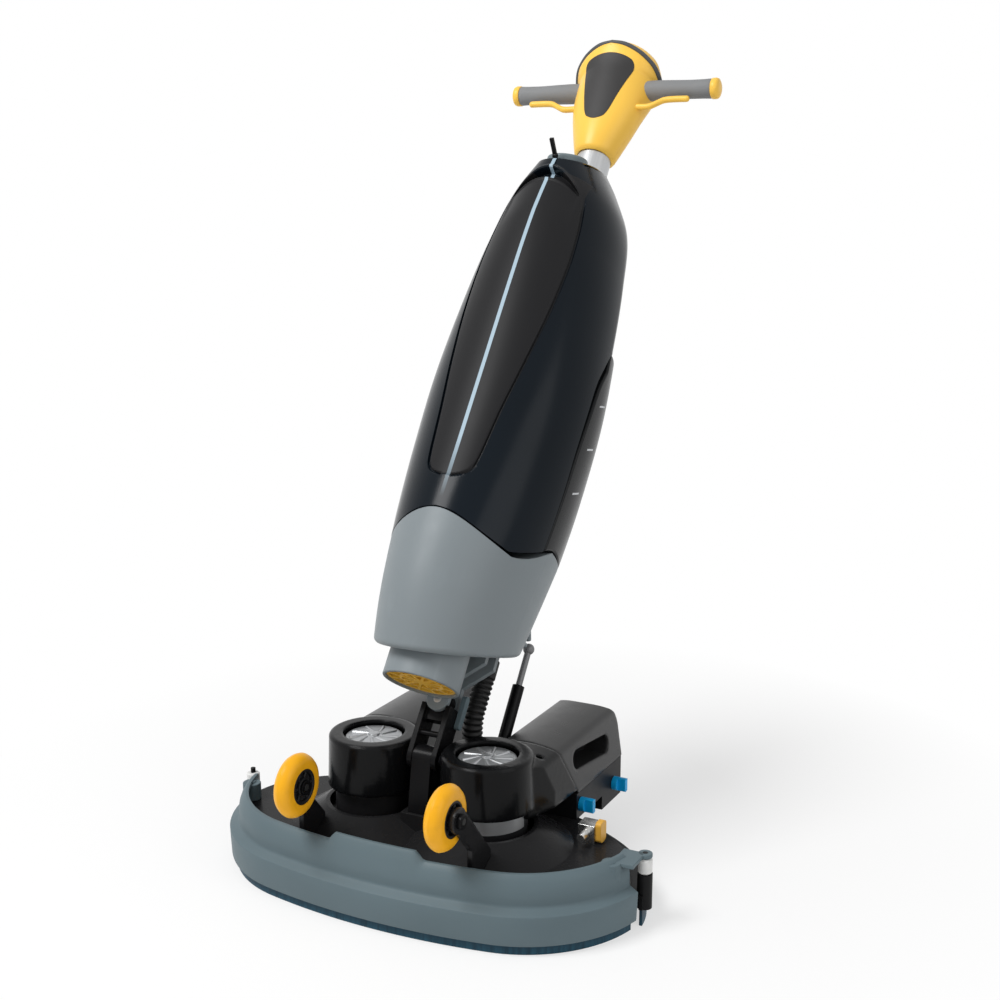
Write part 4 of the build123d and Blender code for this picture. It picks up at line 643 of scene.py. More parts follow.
base_grey.feed("Base Color", base_grey.mix(scuffs * 0.35, flow, tint(BASE_GREY, 1.35)))
dress(base_grey, "base_housing")
lug = bmesh.new()
rod(lug, LUG_ROOT, LUG_TIP, LUG_ROOT_R, LUG_TIP_R)
lug.transform(BODY)
piece("strut_lug", lug, base_grey, "upper")

# Filter cup, grille and vacuum motor: a grey cup under the base with an amber ribbed grille in its mouth.
# The grille twists out to free the float, and the motor's bright can stands above it.
dress(base_grey, "filter_cup", "lean_bracket")
amber = moulded("amber", (0.78, 0.45, 0.055), 0.34, shade=0.92)
dress(amber, "filter_grille")
dress(motor_metal, "vacuum_motor")

# Mast tube: drawn aluminium, brushed along its length and clear-lacquered.
# It stands in the base housing and carries the handle head on its upper end.
mast_metal = Finish("mast_metal", (0.48, 0.49, 0.5), 0.34, Metallic=0.85)
drawn = mast_metal.noise(420.0, 3.0, (1, 1, 0.03), BODY)
mast_metal.feed("Roughness", drawn * 0.25 + 0.25)
mast_metal.feed("Base Color", mast_metal.mix(drawn, (0.42, 0.43, 0.44, 1), (0.54, 0.55, 0.56, 1)))
mast_metal.bump(drawn, 0.00003)
dress(mast_metal, "mast_tube")

# Front tank: the tall gloss-black recovery tank, a blow-moulded shell that hugs the mast from the front.
# An arched hand recess lies under its hood, over a satin panel with a pressed groove round it.
# A pale stripe is coloured onto the shell from the hood down, a little right of the middle, fading out near
# its foot.
WAIST_Y = -30
# Height of a station, then the half width, the reach forward and the reach back of the tanks there.
STATIONS = (
    (60, 69.5, 120, 48.5), (105, 75.7, 134, 58), (150, 82, 146, 68), (205, 89, 151, 78.5),
    (260, 96.5, 151, 85), (345, 103.5, 150, 83), (445, 107, 149.5, 70), (545, 101, 149, 52),
    (630, 91, 147, 44), (705, 76, 140, 40), (760, 48, 128, 38), (800, 22, 116, 36),
)
# Height, then the place of the front tank's back there.
TANK_BACK = ((205, 12), (345, 12), (445, 12), (545, 12), (630, 18), (705, 33), (760, 36), (800, 36))
# Height of the seam on the base housing, by distance from the middle and by depth along the side.
SEAM_WAVE = ((0, 248.5), (24, 244), (63, 228), (98, 218), (120, 216))
SEAM_SIDE = ((-150, 220), (-112, 220), (-90, 226), (-58, 241), (-26, 257), (10, 257))
# Height, then the place of the split between the two tanks there.
SPLIT = ((200, -47), (260, -47), (330, -50), (380, -53), (430, -53), (470, -50), (500, -40), (528, -27))
# Height, then the panel's half width there.
PANEL = (
    (290, 8), (293, 18), (298, 25), (306, 29.5), (322, 32.5), (345, 35), (381, 39), (452, 49), (523, 57),
    (594, 60), (650, 57), (694, 51), (740, 44),
)
PANEL_FOOT, PANEL_HEAD = PANEL[0][0], PANEL[-1][0]
PANEL_SIDE_Z, PANEL_LEAST, PANEL_MOST = 306, 29, 0.97
PANEL_INSET, PANEL_FADE = 0.7, (670, 700)
GROOVE_HALF, GROOVE_SLOPE, GROOVE_DEPTH = 2.1, 1.3, 3.2
GROOVE_BELOW, GROOVE_ABOVE = 9, 10
MAST_Y, MAST_ROOM, ROOM_MOST, ROOM_LEAST = -27, 27, 0.95, 3
TANK_LEDGE, LEDGE_STEP, SEAM_OPEN = 527, 1.6, 2.2
TOP_FRONT_Y, TOP_FRONT_Z, TOP_SLOPE, TOP_CREST = -138, 742, 53 / 118, 799
HOOD_Z, HOOD_DROP, HOOD_HALF = 729, 36, 48
SLOT_HEIGHT, SLOT_LEAST, SLOT_DEPTH = 14, 1.5, 13
SLOT_ROOF, SLOT_FLOOR, SLOT_ENDS = 3.2, 2.6, 0.25
SILL_DEPTH, SILL_START, SILL_FADE, SILL_ENDS = 2.6, (-1, 2), (4, 60), 0.12
LIP_HEIGHT, HOOD_LIP, SILL_LIP, LIP_ENDS = 1.3, (2.2, 2.6), (3, 2.4), 0.3
RECESS_Y, HOOD_EDGE_Y, FRONT_SIDE_Y = -70, -0.04, -0.05
SILL_BELOW, HOOD_ABOVE = 4, 3
FLANK, GROOVE, FACE, TAIL, WALL, BACK = 48, 10, 44, 16, 6, 6
ARC = 2 * FLANK + 2 * GROOVE + FACE
INNER = 2 * TAIL + 2 * WALL + BACK
TANK_COLUMNS = ARC + INNER
FOOT_ROWS, LOWER_ROWS, UPPER_ROWS, HOOD_ROWS, CREST_ROWS = 46, 100, 120, 56, 16
TANK_ROWS = LOWER_ROWS + 1 + UPPER_ROWS + HOOD_ROWS + CREST_ROWS
TOE_Z, TOE_LEAST, TOE_SHARE, SHIN_Z = 284, 4, 0.2, 326
# The shell's black carries a blue tint, a painted reflection of bluish light on the gloss.
TANK_BLACK_AND_BLUE_SHEEN, PANEL_BLACK = (0.004, 0.0072, 0.0112), (0.0125, 0.0125, 0.0135)
STRIPE_PALE = (0.36, 0.47, 0.55)
STRIPE_X, STRIPE_EDGE, STRIPE_FADE = 0.003, (0.0021, 0.0026), (0.262, 0.34)
# Heights at which the shading follows the panel's outline, and the height where the shaded panel ends.
PANEL_STEPS, PANEL_SHADE_END = (290, 296, 306, 345, 381, 452, 523, 594, 650, 694), 722


def between(rows, z):
    """Values at a height on a smooth curve through rows of a height and its values."""
    k = 0
    while k < len(rows) - 2 and rows[k + 1][0] < z:
        k += 1
    low, high = rows[k], rows[k + 1]
    before, after = rows[max(k - 1, 0)], rows[min(k + 2, len(rows) - 1)]
    gap = high[0] - low[0]
    t = min(max((z - low[0]) / gap, 0), 1)
    values = []
    for j in range(1, len(low)):
        lift = gap * (high[j] - before[j]) / (high[0] - before[0])
        land = gap * (after[j] - low[j]) / (after[0] - low[0])
        bend = lift * t * (1 - t) ** 2 - land * t * t * (1 - t)
        values.append(low[j] + (high[j] - low[j]) * t * t * (3 - 2 * t) + bend)
    return values


def seam_height(x, y):
    return max(between(SEAM_WAVE, abs(x))[0], between(SEAM_SIDE, y)[0])


def spread(low, high, share):
    return low + (high - low) * share


def panel_turn(column, edge, end):
    """Turn from the front of one column: flanks, grooves and face follow the panel's outline."""
    side = 1 if column < ARC / 2 else -1
    step = min(column, ARC - column)
    if step <= FLANK:
        return side * spread(end, edge[1], step / FLANK)
    if step <= FLANK + GROOVE:
        return side * spread(edge[1], edge[0], (step - FLANK) / GROOVE)
    return side * edge[0] * (1 - (step - FLANK - GROOVE) / (FACE / 2))


def channel_plan(past, tail, room, edge, floor):
    """Plan of a tank's inner side, by columns past its outer arc: a tail, then round the mast's channel."""
    side = -1 if past <= INNER / 2 else 1
    step = past if side < 0 else INNER - past
    if step <= TAIL:
        x, y = tail(step / TAIL)
        return side * x, y
    if step <= TAIL + WALL:
        return side * room, spread(edge, floor, (step - TAIL) / WALL)
    return room * (2 * (past - TAIL - WALL) / BACK - 1), floor


def tank_plan(column, z, below):
    """Plan of the tank: round the front, along its back and round the channel for the mast."""
    half, front = between(STATIONS, z)[:2]
    back = between(TANK_BACK, z)[0] - WAIST_Y
    split = between(SPLIT, z)[0] if below else WAIST_Y
    end = math.acos((WAIST_Y - split) / (front + WAIST_Y if split < WAIST_Y else back))
    if column <= ARC:
        face = max(between(PANEL, max(z, PANEL_SIDE_Z))[0], PANEL_LEAST)
        edge = [math.asin(min((face + side * GROOVE_HALF) / half, PANEL_MOST)) for side in (-1, 1)]
        angle = panel_turn(column, edge, end)
        reach = front + WAIST_Y if math.cos(angle) > 0 else back
        return half * math.sin(angle), WAIST_Y - reach * math.cos(angle)
    room = min(MAST_ROOM, half * ROOM_MOST)
    turn = math.acos(room / half)

    def tail(share):
        if below:
            return spread(half * math.sin(end), room, share), split
        return half * math.cos(turn * share), WAIST_Y + back * math.sin(turn * share)

    floor = min(MAST_Y - MAST_ROOM, split - ROOM_LEAST)
    return channel_plan(column - ARC, tail, room, tail(1)[1], floor)


def top_height(x, y):
    return min(TOP_FRONT_Z + (y - TOP_FRONT_Y) * TOP_SLOPE, TOP_CREST)


def hood_height(x, y):
    return HOOD_Z - HOOD_DROP * min(abs(x) / HOOD_HALF, 1) ** 2


def sill_height(x, y):
    return hood_height(x, y) - SLOT_HEIGHT * (1 - min(abs(x) / HOOD_HALF, 1) ** 2) - SLOT_LEAST


def met(column, rule, plan, below, guess):
    """Height at which a rule for a place meets a skin in one column."""
    z = guess
    for _ in range(24):
        z = (z + rule(*plan(column, z, below))) / 2
    return z


PANEL_EDGE = [(between(PANEL, height)[0], height) for height in range(PANEL_FOOT, PANEL_HEAD + 1)]


def panel_depth(x, z):
    """How far the panel and the groove round it lie in the skin."""
    level = int(z) - PANEL_FOOT
    near = PANEL_EDGE[max(level - GROOVE_BELOW, 0) : max(level + GROOVE_ABOVE, 1)]
    off = min((math.hypot(half - abs(x), height - z) for half, height in near), default=math.inf)
    inside = z > PANEL_FOOT and abs(x) < between(PANEL, z)[0]
    inset = PANEL_INSET * eased(off, 0, 2) if inside else 0
    return (1 - eased(z, *PANEL_FADE)) * (GROOVE_DEPTH * eased(GROOVE_HALF - off, 0, GROOVE_SLOPE) + inset)


def recess_depth(x, y, z):
    """How far the skin goes in under the hood: a finger slot between two arches, then the panel below it."""
    across = abs(x) / HOOD_HALF
    if across >= 1:
        return 0
    hood, sill = hood_height(x, y), sill_height(x, y)
    slot = SLOT_DEPTH * eased(hood - z, 0, SLOT_ROOF) * eased(z, sill - SLOT_FLOOR, sill)
    panel = SILL_DEPTH * eased(sill - z, *SILL_START) * (1 - eased(sill - z, *SILL_FADE))
    deepest = max(slot * eased(1 - across, 0, SLOT_ENDS), panel * eased(1 - across, 0, SILL_ENDS))
    hood_lip = 1 - eased(abs(z - hood - HOOD_LIP[0]), 0, HOOD_LIP[1])
    sill_lip = 1 - eased(abs(z - sill + SILL_LIP[0]), 0, SILL_LIP[1])
    return deepest - LIP_HEIGHT * (hood_lip + sill_lip) * eased(1 - across, 0, LIP_ENDS)


TANK_RANGE = range(TANK_COLUMNS + 1)
TANK_FOOT = [met(column, seam_height, tank_plan, True, guess=240) + SEAM_OPEN for column in TANK_RANGE]
TANK_SILL = [met(column, sill_height, tank_plan, False, guess=690) - SILL_BELOW for column in TANK_RANGE]
TANK_HOOD = [met(column, hood_height, tank_plan, False, guess=690) + HOOD_ABOVE for column in TANK_RANGE]
TANK_TOP = [met(column, top_height, tank_plan, False, guess=650) for column in TANK_RANGE]


def tank_row(column, row):
    """Height of one row: close rows at the foot and at the hood, wide ones between."""
    foot = TANK_FOOT[column]
    toe = max(foot + TOE_LEAST, TOE_Z)
    if row <= FOOT_ROWS:
        share = row / FOOT_ROWS
        if share < TOE_SHARE:
            return spread(foot, toe, share / TOE_SHARE)
        return spread(toe, SHIN_Z, (share - TOE_SHARE) / (1 - TOE_SHARE))
    if row <= LOWER_ROWS:
        return spread(SHIN_Z, TANK_LEDGE, (row - FOOT_ROWS) / (LOWER_ROWS - FOOT_ROWS))
    row -= LOWER_ROWS + 1
    if row <= UPPER_ROWS:
        return spread(TANK_LEDGE + LEDGE_STEP, TANK_SILL[column], row / UPPER_ROWS)
    row -= UPPER_ROWS
    if row <= HOOD_ROWS:
        return spread(TANK_SILL[column], TANK_HOOD[column], row / HOOD_ROWS)
    return spread(TANK_HOOD[column], TANK_TOP[column], (row - HOOD_ROWS) / CREST_ROWS)


def tank_skin(column, row):
    z = tank_row(column, row)
    x, y = tank_plan(column, z, row <= LOWER_ROWS)
    if column <= ARC and y < RECESS_Y:
        y += recess_depth(x, y, z) + panel_depth(x, z)
    return x, y, z


def rims(mesh):
    """The open edges of an upright sheet: the lower loop and the upper one."""
    open_edges = [e for e in mesh.edges if e.is_boundary]
    middle = sum(e.verts[0].co.z for e in open_edges) / len(open_edges)
    low = [e for e in open_edges if e.verts[0].co.z < middle]
    high = [e for e in open_edges if e.verts[0].co.z >= middle]
    return low, high


tank = wrapped(TANK_COLUMNS, TANK_ROWS, tank_skin)
tank_foot, tank_rim = rims(tank)
hood_edge = [e for e in tank_rim if max(v.co.y for v in e.verts) < HOOD_EDGE_Y]
bmesh.ops.edgeloop_fill(tank, edges=tank_foot)
bmesh.ops.edgeloop_fill(tank, edges=tank_rim)
bmesh.ops.bevel(tank, geom=hood_edge, offset=0.004, affect="EDGES", segments=4, profile=0.5, material=-1)
tank.transform(BODY)
tank_gloss = Finish("tank_gloss", TANK_BLACK_AND_BLUE_SHEEN, 0.2, IOR=1.2)
x, y, z = tank_gloss.axes(BODY)
panel_stops = [(height / 1000, between(PANEL, height)[0] / 1000) for height in PANEL_STEPS]
edge_at = panel_stops[0][1]
for (low_z, low_x), (high_z, high_x) in zip(panel_stops, panel_stops[1:]):
    edge_at = z.held(low_z, high_z) * (high_x - low_x) + edge_at
front_side = y < FRONT_SIDE_Y
panel_span = (z > PANEL_FOOT / 1000) * (z < PANEL_SHADE_END / 1000)
on_panel = (edge_at - abs(x)).held(-0.001, 0.0005) * panel_span * front_side
stripe = (1 - abs(x - STRIPE_X).held(*STRIPE_EDGE)) * front_side * z.held(*STRIPE_FADE)
cloud = tank_gloss.noise(5.0, 3.0, (1, 1, 0.4), BODY)
shell = tank_gloss.mix(cloud, tint(TANK_BLACK_AND_BLUE_SHEEN, 0.6), tint(TANK_BLACK_AND_BLUE_SHEEN, 1.4))
face = tank_gloss.mix(on_panel, shell, (*PANEL_BLACK, 1))
tank_gloss.feed("Base Color", tank_gloss.mix(stripe, face, (*STRIPE_PALE, 1)))
fine = tank_gloss.noise(45.0, 5.0, (1, 1, 0.3), BODY)
tank_gloss.feed("Roughness", fine * 0.14 + 0.13 + on_panel * 0.2)
tank_gloss.bump(tank_gloss.noise(900.0, 2.0), 0.00003)
piece("tank_shell", tank, tank_gloss, "front_tank", "front_tank", slot="black_gloss", crease=50)

# Tank cap and its latch: a blue-grey lid on the tank's sloped top, hinged at its rear edge.
# A thin black spring lever in front of it holds it shut.
cap_grey = moulded("cap_grey", (0.17, 0.21, 0.225), 0.42, grain=0.00005)
dress(cap_grey, "tank_cap")
dress(painted_black, "cap_latch")

# Rear tank: the smaller black clean-water tank behind the mast, flat in front and round behind.
# It is blow-moulded with a soft edge, and white tick marks printed on both its sides show the level.
REAR_TOP, REAR_ROWS, REAR_ARC = 526, 72, 96
REAR_COLUMNS = REAR_ARC + INNER
REAR_GAP, REAR_FLARE, FLARE_FROM, FLARE_RUN = 2, 9, 260, 250
REAR_ROOM = MAST_ROOM + 1
REAR_BLACK, TICK_WHITE = (0.009, 0.0098, 0.011), (0.62, 0.64, 0.66)
TICK_HEIGHTS, TICK_SLOPE, TICK_EDGE = (0.337, 0.396, 0.455), 0.5, (0.0009, 0.0014)
TICK_FRONT, TICK_MIDDLE, TICK_REAR = -0.03, -0.022, -0.012


def rear_split(z):
    return between(SPLIT, z)[0] + REAR_GAP + REAR_FLARE * max((z - FLARE_FROM) / FLARE_RUN, 0) ** 1.5


def rear_plan(column, z, below):
    """Plan of the rear tank: round its back, along its flat front and round the channel for the mast."""
    half, front, rear = between(STATIONS, z)
    split = rear_split(z)
    start = math.acos(min((WAIST_Y - split) / (front + WAIST_Y), 1)) if split < WAIST_Y else math.pi / 2
    if column <= REAR_ARC:
        angle = spread(start, 2 * math.pi - start, column / REAR_ARC)
        reach = front + WAIST_Y if math.cos(angle) > 0 else rear - WAIST_Y
        return half * math.sin(angle), WAIST_Y - reach * math.cos(angle)
    edge = min(split, WAIST_Y)

    def tail(share):
        return spread(half * math.sin(start), REAR_ROOM, share), edge

    return channel_plan(column - REAR_ARC, tail, REAR_ROOM, edge, MAST_Y + REAR_ROOM)


REAR_RANGE = range(REAR_COLUMNS + 1)
REAR_FOOT = [met(column, seam_height, rear_plan, True, guess=250) + SEAM_OPEN for column in REAR_RANGE]


def rear_skin(column, row):
    z = spread(REAR_FOOT[column], REAR_TOP, row / REAR_ROWS)
    return (*rear_plan(column, z, True), z)


rear = wrapped(REAR_COLUMNS, REAR_ROWS, rear_skin)
for rim_edges in rims(rear):
    bmesh.ops.edgeloop_fill(rear, edges=rim_edges)
rear.transform(BODY)
rear_gloss = Finish("rear_gloss", REAR_BLACK, 0.26, IOR=1.22)
_, y, z = rear_gloss.axes(BODY)
slant = (y - TICK_MIDDLE) * TICK_SLOPE
low_tick, middle_tick, high_tick = [1 - abs(z - height - slant).held(*TICK_EDGE) for height in TICK_HEIGHTS]
ticks = (low_tick + middle_tick + high_tick) * (y > TICK_FRONT) * (y < TICK_REAR)
rear_gloss.feed("Base Color", rear_gloss.mix(ticks, (*REAR_BLACK, 1), (*TICK_WHITE, 1)))
rear_gloss.feed("Roughness", rear_gloss.noise(40.0, 3.0) * 0.14 + 0.19 + ticks * 0.2)
rear_gloss.bump(rear_gloss.noise(900.0, 2.0), 0.00003)
rear_shell = piece(
    "rear_tank_shell", rear, rear_gloss, "rear_tank", "rear_tank", slot="black_gloss", crease=45
)
broken(rear_shell, 0.0025, 45)

# Handle head: two yellow mouldings clipped together over the mast.
# The front one is a crowned shield, narrow at the mast and wide at the bar, with a round top.
# They meet upright beside the mast and lean forward above the bar, and the rear one closes with a low dome.
BAR_Y, BAR_Z = -27, 936
# Height of a level, then the half width, the reach forward and the reach back of the head there.
HEAD_LEVELS = (
    (822, 26.5, 55, -2), (845, 34, 60, 1), (880, 44.5, 64, 5), (925, 55, 68, 9), (955, 59.5, 70, 11),
    (980, 60, 75.5, 12),
)
# Distance from the middle, then the height of the round top there.
HEAD_ARCH = ((0, 980), (18, 978.3), (36, 973), (48, 967), (55, 961.5), (58.7, 955), (60, 950))
HEAD_FOOT, HEAD_TOP, HEAD_HALF, ARCH_FOOT = 822, 980, 60, HEAD_ARCH[-1][1]
SPLIT_FROM, RIM_FOOT, HEAD_SPLIT_Y, SPLIT_LEAN = 880, 948, -14, 1.84
SPLIT_NORMAL = Vector((0, 0.477, 0.879))
HEAD_COLUMNS, HEAD_ROWS = 96, 110
FOOT_ROUND, FOOT_DRAW = 6, 3.5
DOME_RISE, DOME_FROM, DOME_LEAN = 34, 958, (925, 965)
FACE_ROUND, FACE_STEEPER, FACE_TURN, BACK_ROUND = 0.95, 0.35, (895, 960), (0.8, 0.5)
RIM_THICK, RIM_START = 5, (936, 952)
HEAD_YELLOW = (0.93, 0.56, 0.085)


def arch_height(x):
    return between(HEAD_ARCH, min(abs(x), HEAD_HALF))[0]


def arch_half(z):
    """Half width of the head's round top at a height."""
    if z <= ARCH_FOOT:
        return HEAD_HALF
    low, high = 0, HEAD_HALF
    for _ in range(24):
        middle = (low + high) / 2
        low, high = (middle, high) if arch_height(middle) > z else (low, middle)
    return low


def split_y(z):
    """Where the two mouldings meet: upright beside the mast, then leaning forward over the face."""
    return spread(BAR_Y, HEAD_SPLIT_Y, eased(z, SPLIT_FROM, RIM_FOOT)) - SPLIT_LEAN * max(z - RIM_FOOT, 0)


def head_level(z):
    """Half width, depth of the face and depth of the back at a height, with the soft foot taken off."""
    half, front, rear = between(HEAD_LEVELS, z)
    near = max((HEAD_FOOT + FOOT_ROUND - z) / FOOT_ROUND, 0)
    shrink = FOOT_DRAW * (1 - math.sqrt(1 - near * near))
    dome = math.sqrt(max(1 - (max(z - DOME_FROM, 0) / (HEAD_TOP - DOME_FROM)) ** 2, 0))
    back = spread(rear - split_y(min(z, RIM_FOOT)), DOME_RISE, eased(z, *DOME_LEAN)) * dome
    return min(half, arch_half(z)) - shrink, max(front + split_y(z), 0) - shrink, back - shrink


def face_power(z):
    """How the face falls away to its sides: full and round at the mast, steeper under the round top."""
    return FACE_ROUND + FACE_STEEPER * eased(z, *FACE_TURN)


def head_skin(column, row, face):
    """The front moulding where face is 1, the rear one where it is -1."""
    z = spread(HEAD_FOOT, HEAD_TOP, 1 - (1 - row / HEAD_ROWS) ** 2)
    half, front, back = head_level(z)
    angle = math.pi * (0.5 - column / HEAD_COLUMNS)
    x, turn = half * math.sin(angle), abs(math.cos(angle))
    if face > 0:
        return x, split_y(z) - front * turn ** face_power(z), z
    lean = eased(z, *DOME_LEAN)
    out = Vector((0, 1, 0)).lerp(SPLIT_NORMAL, lean) * back * turn ** spread(*BACK_ROUND, lean)
    return Vector((x, split_y(z), z)) + SPLIT_NORMAL * RIM_THICK * eased(z, *RIM_START) + out


head_yellow = moulded("head_yellow", HEAD_YELLOW, 0.34, grain=0.00002, shade=0.97, edge=0.0012)
for name, face, node in (("head_front", 1, "head_front_shell"), ("head_rear", -1, "head_rear_shell")):
    shell_mesh = wrapped(HEAD_COLUMNS, HEAD_ROWS, lambda column, row: head_skin(column, row, face))
    shell_mesh.transform(BODY)
    walled(piece(name, shell_mesh, head_yellow, "upper", node, slot="yellow", crease=50), 0.0025, 0.0006)

# Head rim: a dark grey rubber bead pressed between the two mouldings, over the top from grip to grip.
# It stands a little proud of both, and its ends run down to the bar.
RIM_COLUMNS, RIM_ROWS = 96, 16
RIM_ARCH_SHARE, RIM_TAIL = 0.86, 8
BEAD_HALF, BEAD_OUT, BEAD_PROUD = 3.1, 3.8, 0.8


def rim_place(share):
    """Place and outward direction on the rim's line, from the left grip over the top to the right one."""
    side = math.copysign(1, share)
    if abs(share) > RIM_ARCH_SHARE:
        z = ARCH_FOOT - RIM_TAIL * (abs(share) - RIM_ARCH_SHARE) / (1 - RIM_ARCH_SHARE)
        return Vector((HEAD_HALF * side, split_y(z), z)), Vector((side, 0, 0))
    x = HEAD_HALF * math.sin(share / RIM_ARCH_SHARE * math.pi / 2)
    slope = (arch_height(min(abs(x) + 0.5, HEAD_HALF)) - arch_height(max(abs(x) - 0.5, 0))) * side
    z = arch_height(x)
    along = Vector((1, -SPLIT_LEAN * slope, slope))
    return Vector((x, split_y(z), z)), along.cross(SPLIT_NORMAL).normalized()


def rim_skin(column, row):
    centre, out = rim_place(2 * column / RIM_COLUMNS - 1)
    angle = 2 * math.pi * row / RIM_ROWS
    across = SPLIT_NORMAL * (RIM_THICK / 2 + BEAD_HALF * math.sin(angle))
    return centre + across + out * (BEAD_OUT * math.cos(angle) + BEAD_PROUD)


rim = wrapped(RIM_COLUMNS, RIM_ROWS, rim_skin)
bmesh.ops.holes_fill(rim, edges=[e for e in rim.edges if e.is_boundary], sides=0)
rim.transform(BODY)
rim_rubber = moulded("rim_rubber", (0.075, 0.08, 0.085), 0.5, grain=0.00006)
piece("head_rim", rim, rim_rubber, "upper", "head_gasket", slot="grip_grey")

# Head plate: a thin charcoal plate let into the front moulding, with a round top, and left bare.
# Its skin is a fine matt grain, and it follows the face's crown.
PLATE_COLUMNS, PLATE_ROWS = 48, 56
PLATE_Z, PLATE_RUN, PLATE_HALF, PLATE_FLARE = 915, 51, 27, 13
PLATE_CORNER, CORNER_POWER = 0.2, 9
PLATE_TOP_BOW, PLATE_FOOT_BOW, PLATE_PROUD = 0.12, 0.09, 0.6


def face_depth(x, z):
    """How far forward of the split the head's skin lies at a place seen from the front."""
    half, front, _ = head_level(z)
    return front * max(1 - (x / half) ** 2, 0) ** (face_power(z) / 2)


def plate_skin(column, row):
    u, v = 2 * column / PLATE_COLUMNS - 1, 2 * row / PLATE_ROWS - 1
    across = u * (1 - PLATE_CORNER * abs(v) ** CORNER_POWER)
    along = v * (1 - (PLATE_TOP_BOW if v > 0 else PLATE_FOOT_BOW) * u * u)
    x, z = (PLATE_HALF + PLATE_FLARE * along) * across, PLATE_Z + PLATE_RUN * along
    return x, split_y(z) - face_depth(x, z) - PLATE_PROUD, z


plate = wrapped(PLATE_COLUMNS, PLATE_ROWS, plate_skin, False)
plate.transform(BODY)
plate_charcoal = moulded("plate_charcoal", (0.034, 0.033, 0.033), 0.5, grain=0.00012)
head_plate = piece("head_plate", plate, plate_charcoal, "upper", "head_insert", slot="dark_matte", crease=60)
walled(head_plate, 0.0014, 0.0004)

# Handlebar: a plated steel bar through the head, with a grey rubber sleeve and a yellow plug at each end.
# The sleeves are waisted for the hand and their skin is finely pebbled.
dress(bolt_steel, "handlebar")
# Radius and distance from the middle of the bar, for one sleeve and one plug.
GRIP = (
    (9.1, 45), (11, 45), (13.2, 47), (13.6, 62), (13.2, 80), (12.6, 98), (12.3, 112), (12.5, 128),
    (12.9, 138.4), (12.4, 140), (9.1, 140), (9.1, 45),
)
PLUG = ((9.1, 140.2), (13, 140.2), (13.7, 141), (13.8, 146), (12.8, 148.6), (9.4, 150.4), (4, 151), (0, 151))


def on_bar(profile):
    """A turned shape at each end of the bar, as one mesh in the body's leaning frame."""
    whole = bmesh.new()
    for side in (-1, 1):
        mesh = turned(profile, (0, BAR_Y, BAR_Z), (side, 0, 0))
        data = bpy.data.meshes.new("half")
        mesh.to_mesh(data)
        mesh.free()
        whole.from_mesh(data)
        bpy.data.meshes.remove(data)
    whole.transform(BODY)
    return whole


grip_grey = moulded("grip_grey", (0.215, 0.22, 0.225), 0.66, shade=0.92)
grip_grey.bump(grip_grey.noise(650.0, 1.0), 0.00025)
piece("grip_sleeves", on_bar(GRIP), grip_grey, "upper", "grips", crease=45)
piece("grip_plugs", on_bar(PLUG), head_yellow, "upper", "grip_end_caps", slot="yellow", crease=45)

# Triggers: two cranked yellow rods under the grips, each on a pin in the head.
# They are moulded with a round end and a smooth step up towards the grip.
TRIGGER_Y, TRIGGER_Z, TRIGGER_R = -38, 902, 4.2
TRIGGER_FROM, TRIGGER_TO = 30, 117
# Distance from the middle, then how far the rod has risen there.
TRIGGER_PATH = ((28, 0), (50, -2), (63, -1.6), (72, 3), (81, 7.8), (92, 9.1), (117, 9))
TRIGGER_COLUMNS, TRIGGER_ROWS = 64, 20


def trigger_skin(column, row, side):
    along = spread(TRIGGER_FROM, TRIGGER_TO, column / TRIGGER_COLUMNS)
    end = max((along - TRIGGER_TO + TRIGGER_R) / TRIGGER_R, 0)
    radius = TRIGGER_R * math.sqrt(max(1 - end * end, 0))
    angle = 2 * math.pi * row / TRIGGER_ROWS
    rise = between(TRIGGER_PATH, along)[0]
    return side * along, TRIGGER_Y + radius * math.cos(angle), TRIGGER_Z + rise + radius * math.sin(angle)


for hand, side in SIDES:
    trigger = wrapped(TRIGGER_COLUMNS, TRIGGER_ROWS, lambda column, row: trigger_skin(column, row, side))
    bmesh.ops.holes_fill(trigger, edges=[e for e in trigger.edges if e.is_boundary], sides=0)
    trigger.transform(BODY)
    name = "trigger_" + hand
    piece("rod_" + name, trigger, head_yellow, name, name, slot="yellow", crease=45)

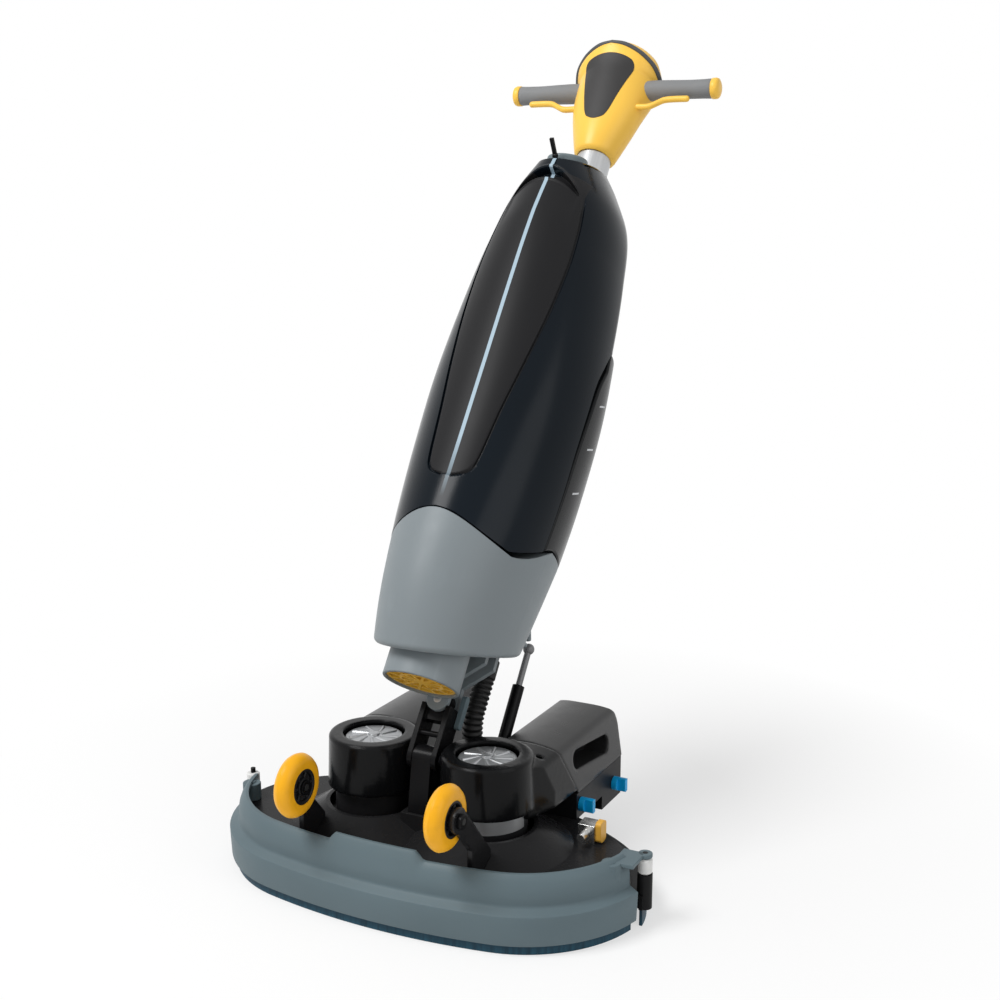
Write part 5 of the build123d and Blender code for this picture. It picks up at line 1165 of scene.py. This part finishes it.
# Studio: a pale floor, a white surround and two soft lamps, one high on the left and one on the right.
# The floor keeps its shadow round the machine and runs out to plain white for the camera.
FLOOR_HALF, FLOOR_PALE = 12, (0.93, 0.93, 0.93)
SHADOW_REACH, SHADOW_LEAST = (0.3, 0.75), 0.55
SKY_ON_OBJECT, SKY_SEEN = 0.42, 1.0
OTHER_RAYS = ("Is Glossy Ray", "Is Transmission Ray")
floor_mesh = bmesh.new()
bmesh.ops.create_grid(floor_mesh, x_segments=1, y_segments=1, size=FLOOR_HALF)
floor_data = bpy.data.meshes.new("floor")
floor_mesh.to_mesh(floor_data)
floor_mesh.free()
floor = placed("floor", floor_data)
floor_paint = Finish("floor_paint", FLOOR_PALE, 0.9)
floor_data.materials.append(floor_paint.material)
seen = floor_paint.node("ShaderNodeLightPath", {}, {}, "Is Camera Ray")
for ray in OTHER_RAYS:
    seen = floor_paint.node("ShaderNodeLightPath", {}, {}, ray) + seen
reach = floor_paint.node("ShaderNodeVectorMath", {"operation": "LENGTH"}, {0: floor_paint.place()}, "Value")
white = floor_paint.node("ShaderNodeEmission", {}, {"Color": (1, 1, 1, 1), "Strength": 1.0})
share = seen * (reach.held(*SHADOW_REACH) * (1 - SHADOW_LEAST) + SHADOW_LEAST)
surface = floor_paint.node("ShaderNodeMixShader", {}, {0: share, 2: white})
floor_paint.tree.links.new(floor_paint.shader.outputs[0], surface.socket.node.inputs[1])
floor_paint.tree.links.new(surface.socket, floor_paint.tree.nodes["Material Output"].inputs["Surface"])

world = bpy.data.worlds.new("studio")
bpy.context.scene.world = world
world.use_nodes = True
tree = world.node_tree
sky = tree.nodes["Background"]
sky.inputs["Color"].default_value = (1, 1, 1, 1)
path = tree.nodes.new("ShaderNodeLightPath")
level = tree.nodes.new("ShaderNodeMapRange")
rays = path.outputs["Is Camera Ray"]
for ray in OTHER_RAYS:
    either = tree.nodes.new("ShaderNodeMath")
    either.operation = "MAXIMUM"
    tree.links.new(rays, either.inputs[0])
    tree.links.new(path.outputs[ray], either.inputs[1])
    rays = either.outputs[0]
tree.links.new(rays, level.inputs["Value"])
level.inputs["To Min"].default_value = SKY_ON_OBJECT
level.inputs["To Max"].default_value = SKY_SEEN
tree.links.new(level.outputs[0], sky.inputs["Strength"])


def lamp(name, place, aim, size, power):
    light = bpy.data.lights.new(name, "AREA")
    light.size = size
    light.energy = power
    shade = placed(name, light)
    shade.location = place
    shade.rotation_euler = (Vector(aim) - Vector(place)).to_track_quat("-Z", "Y").to_euler()


lamp("key", (-1.1, -1.7, 2.9), aim=(0, 0, 0.4), size=1.3, power=80)
lamp("fill", (2.4, -0.6, 1.5), aim=(0, 0.1, 0.4), size=1.5, power=12)
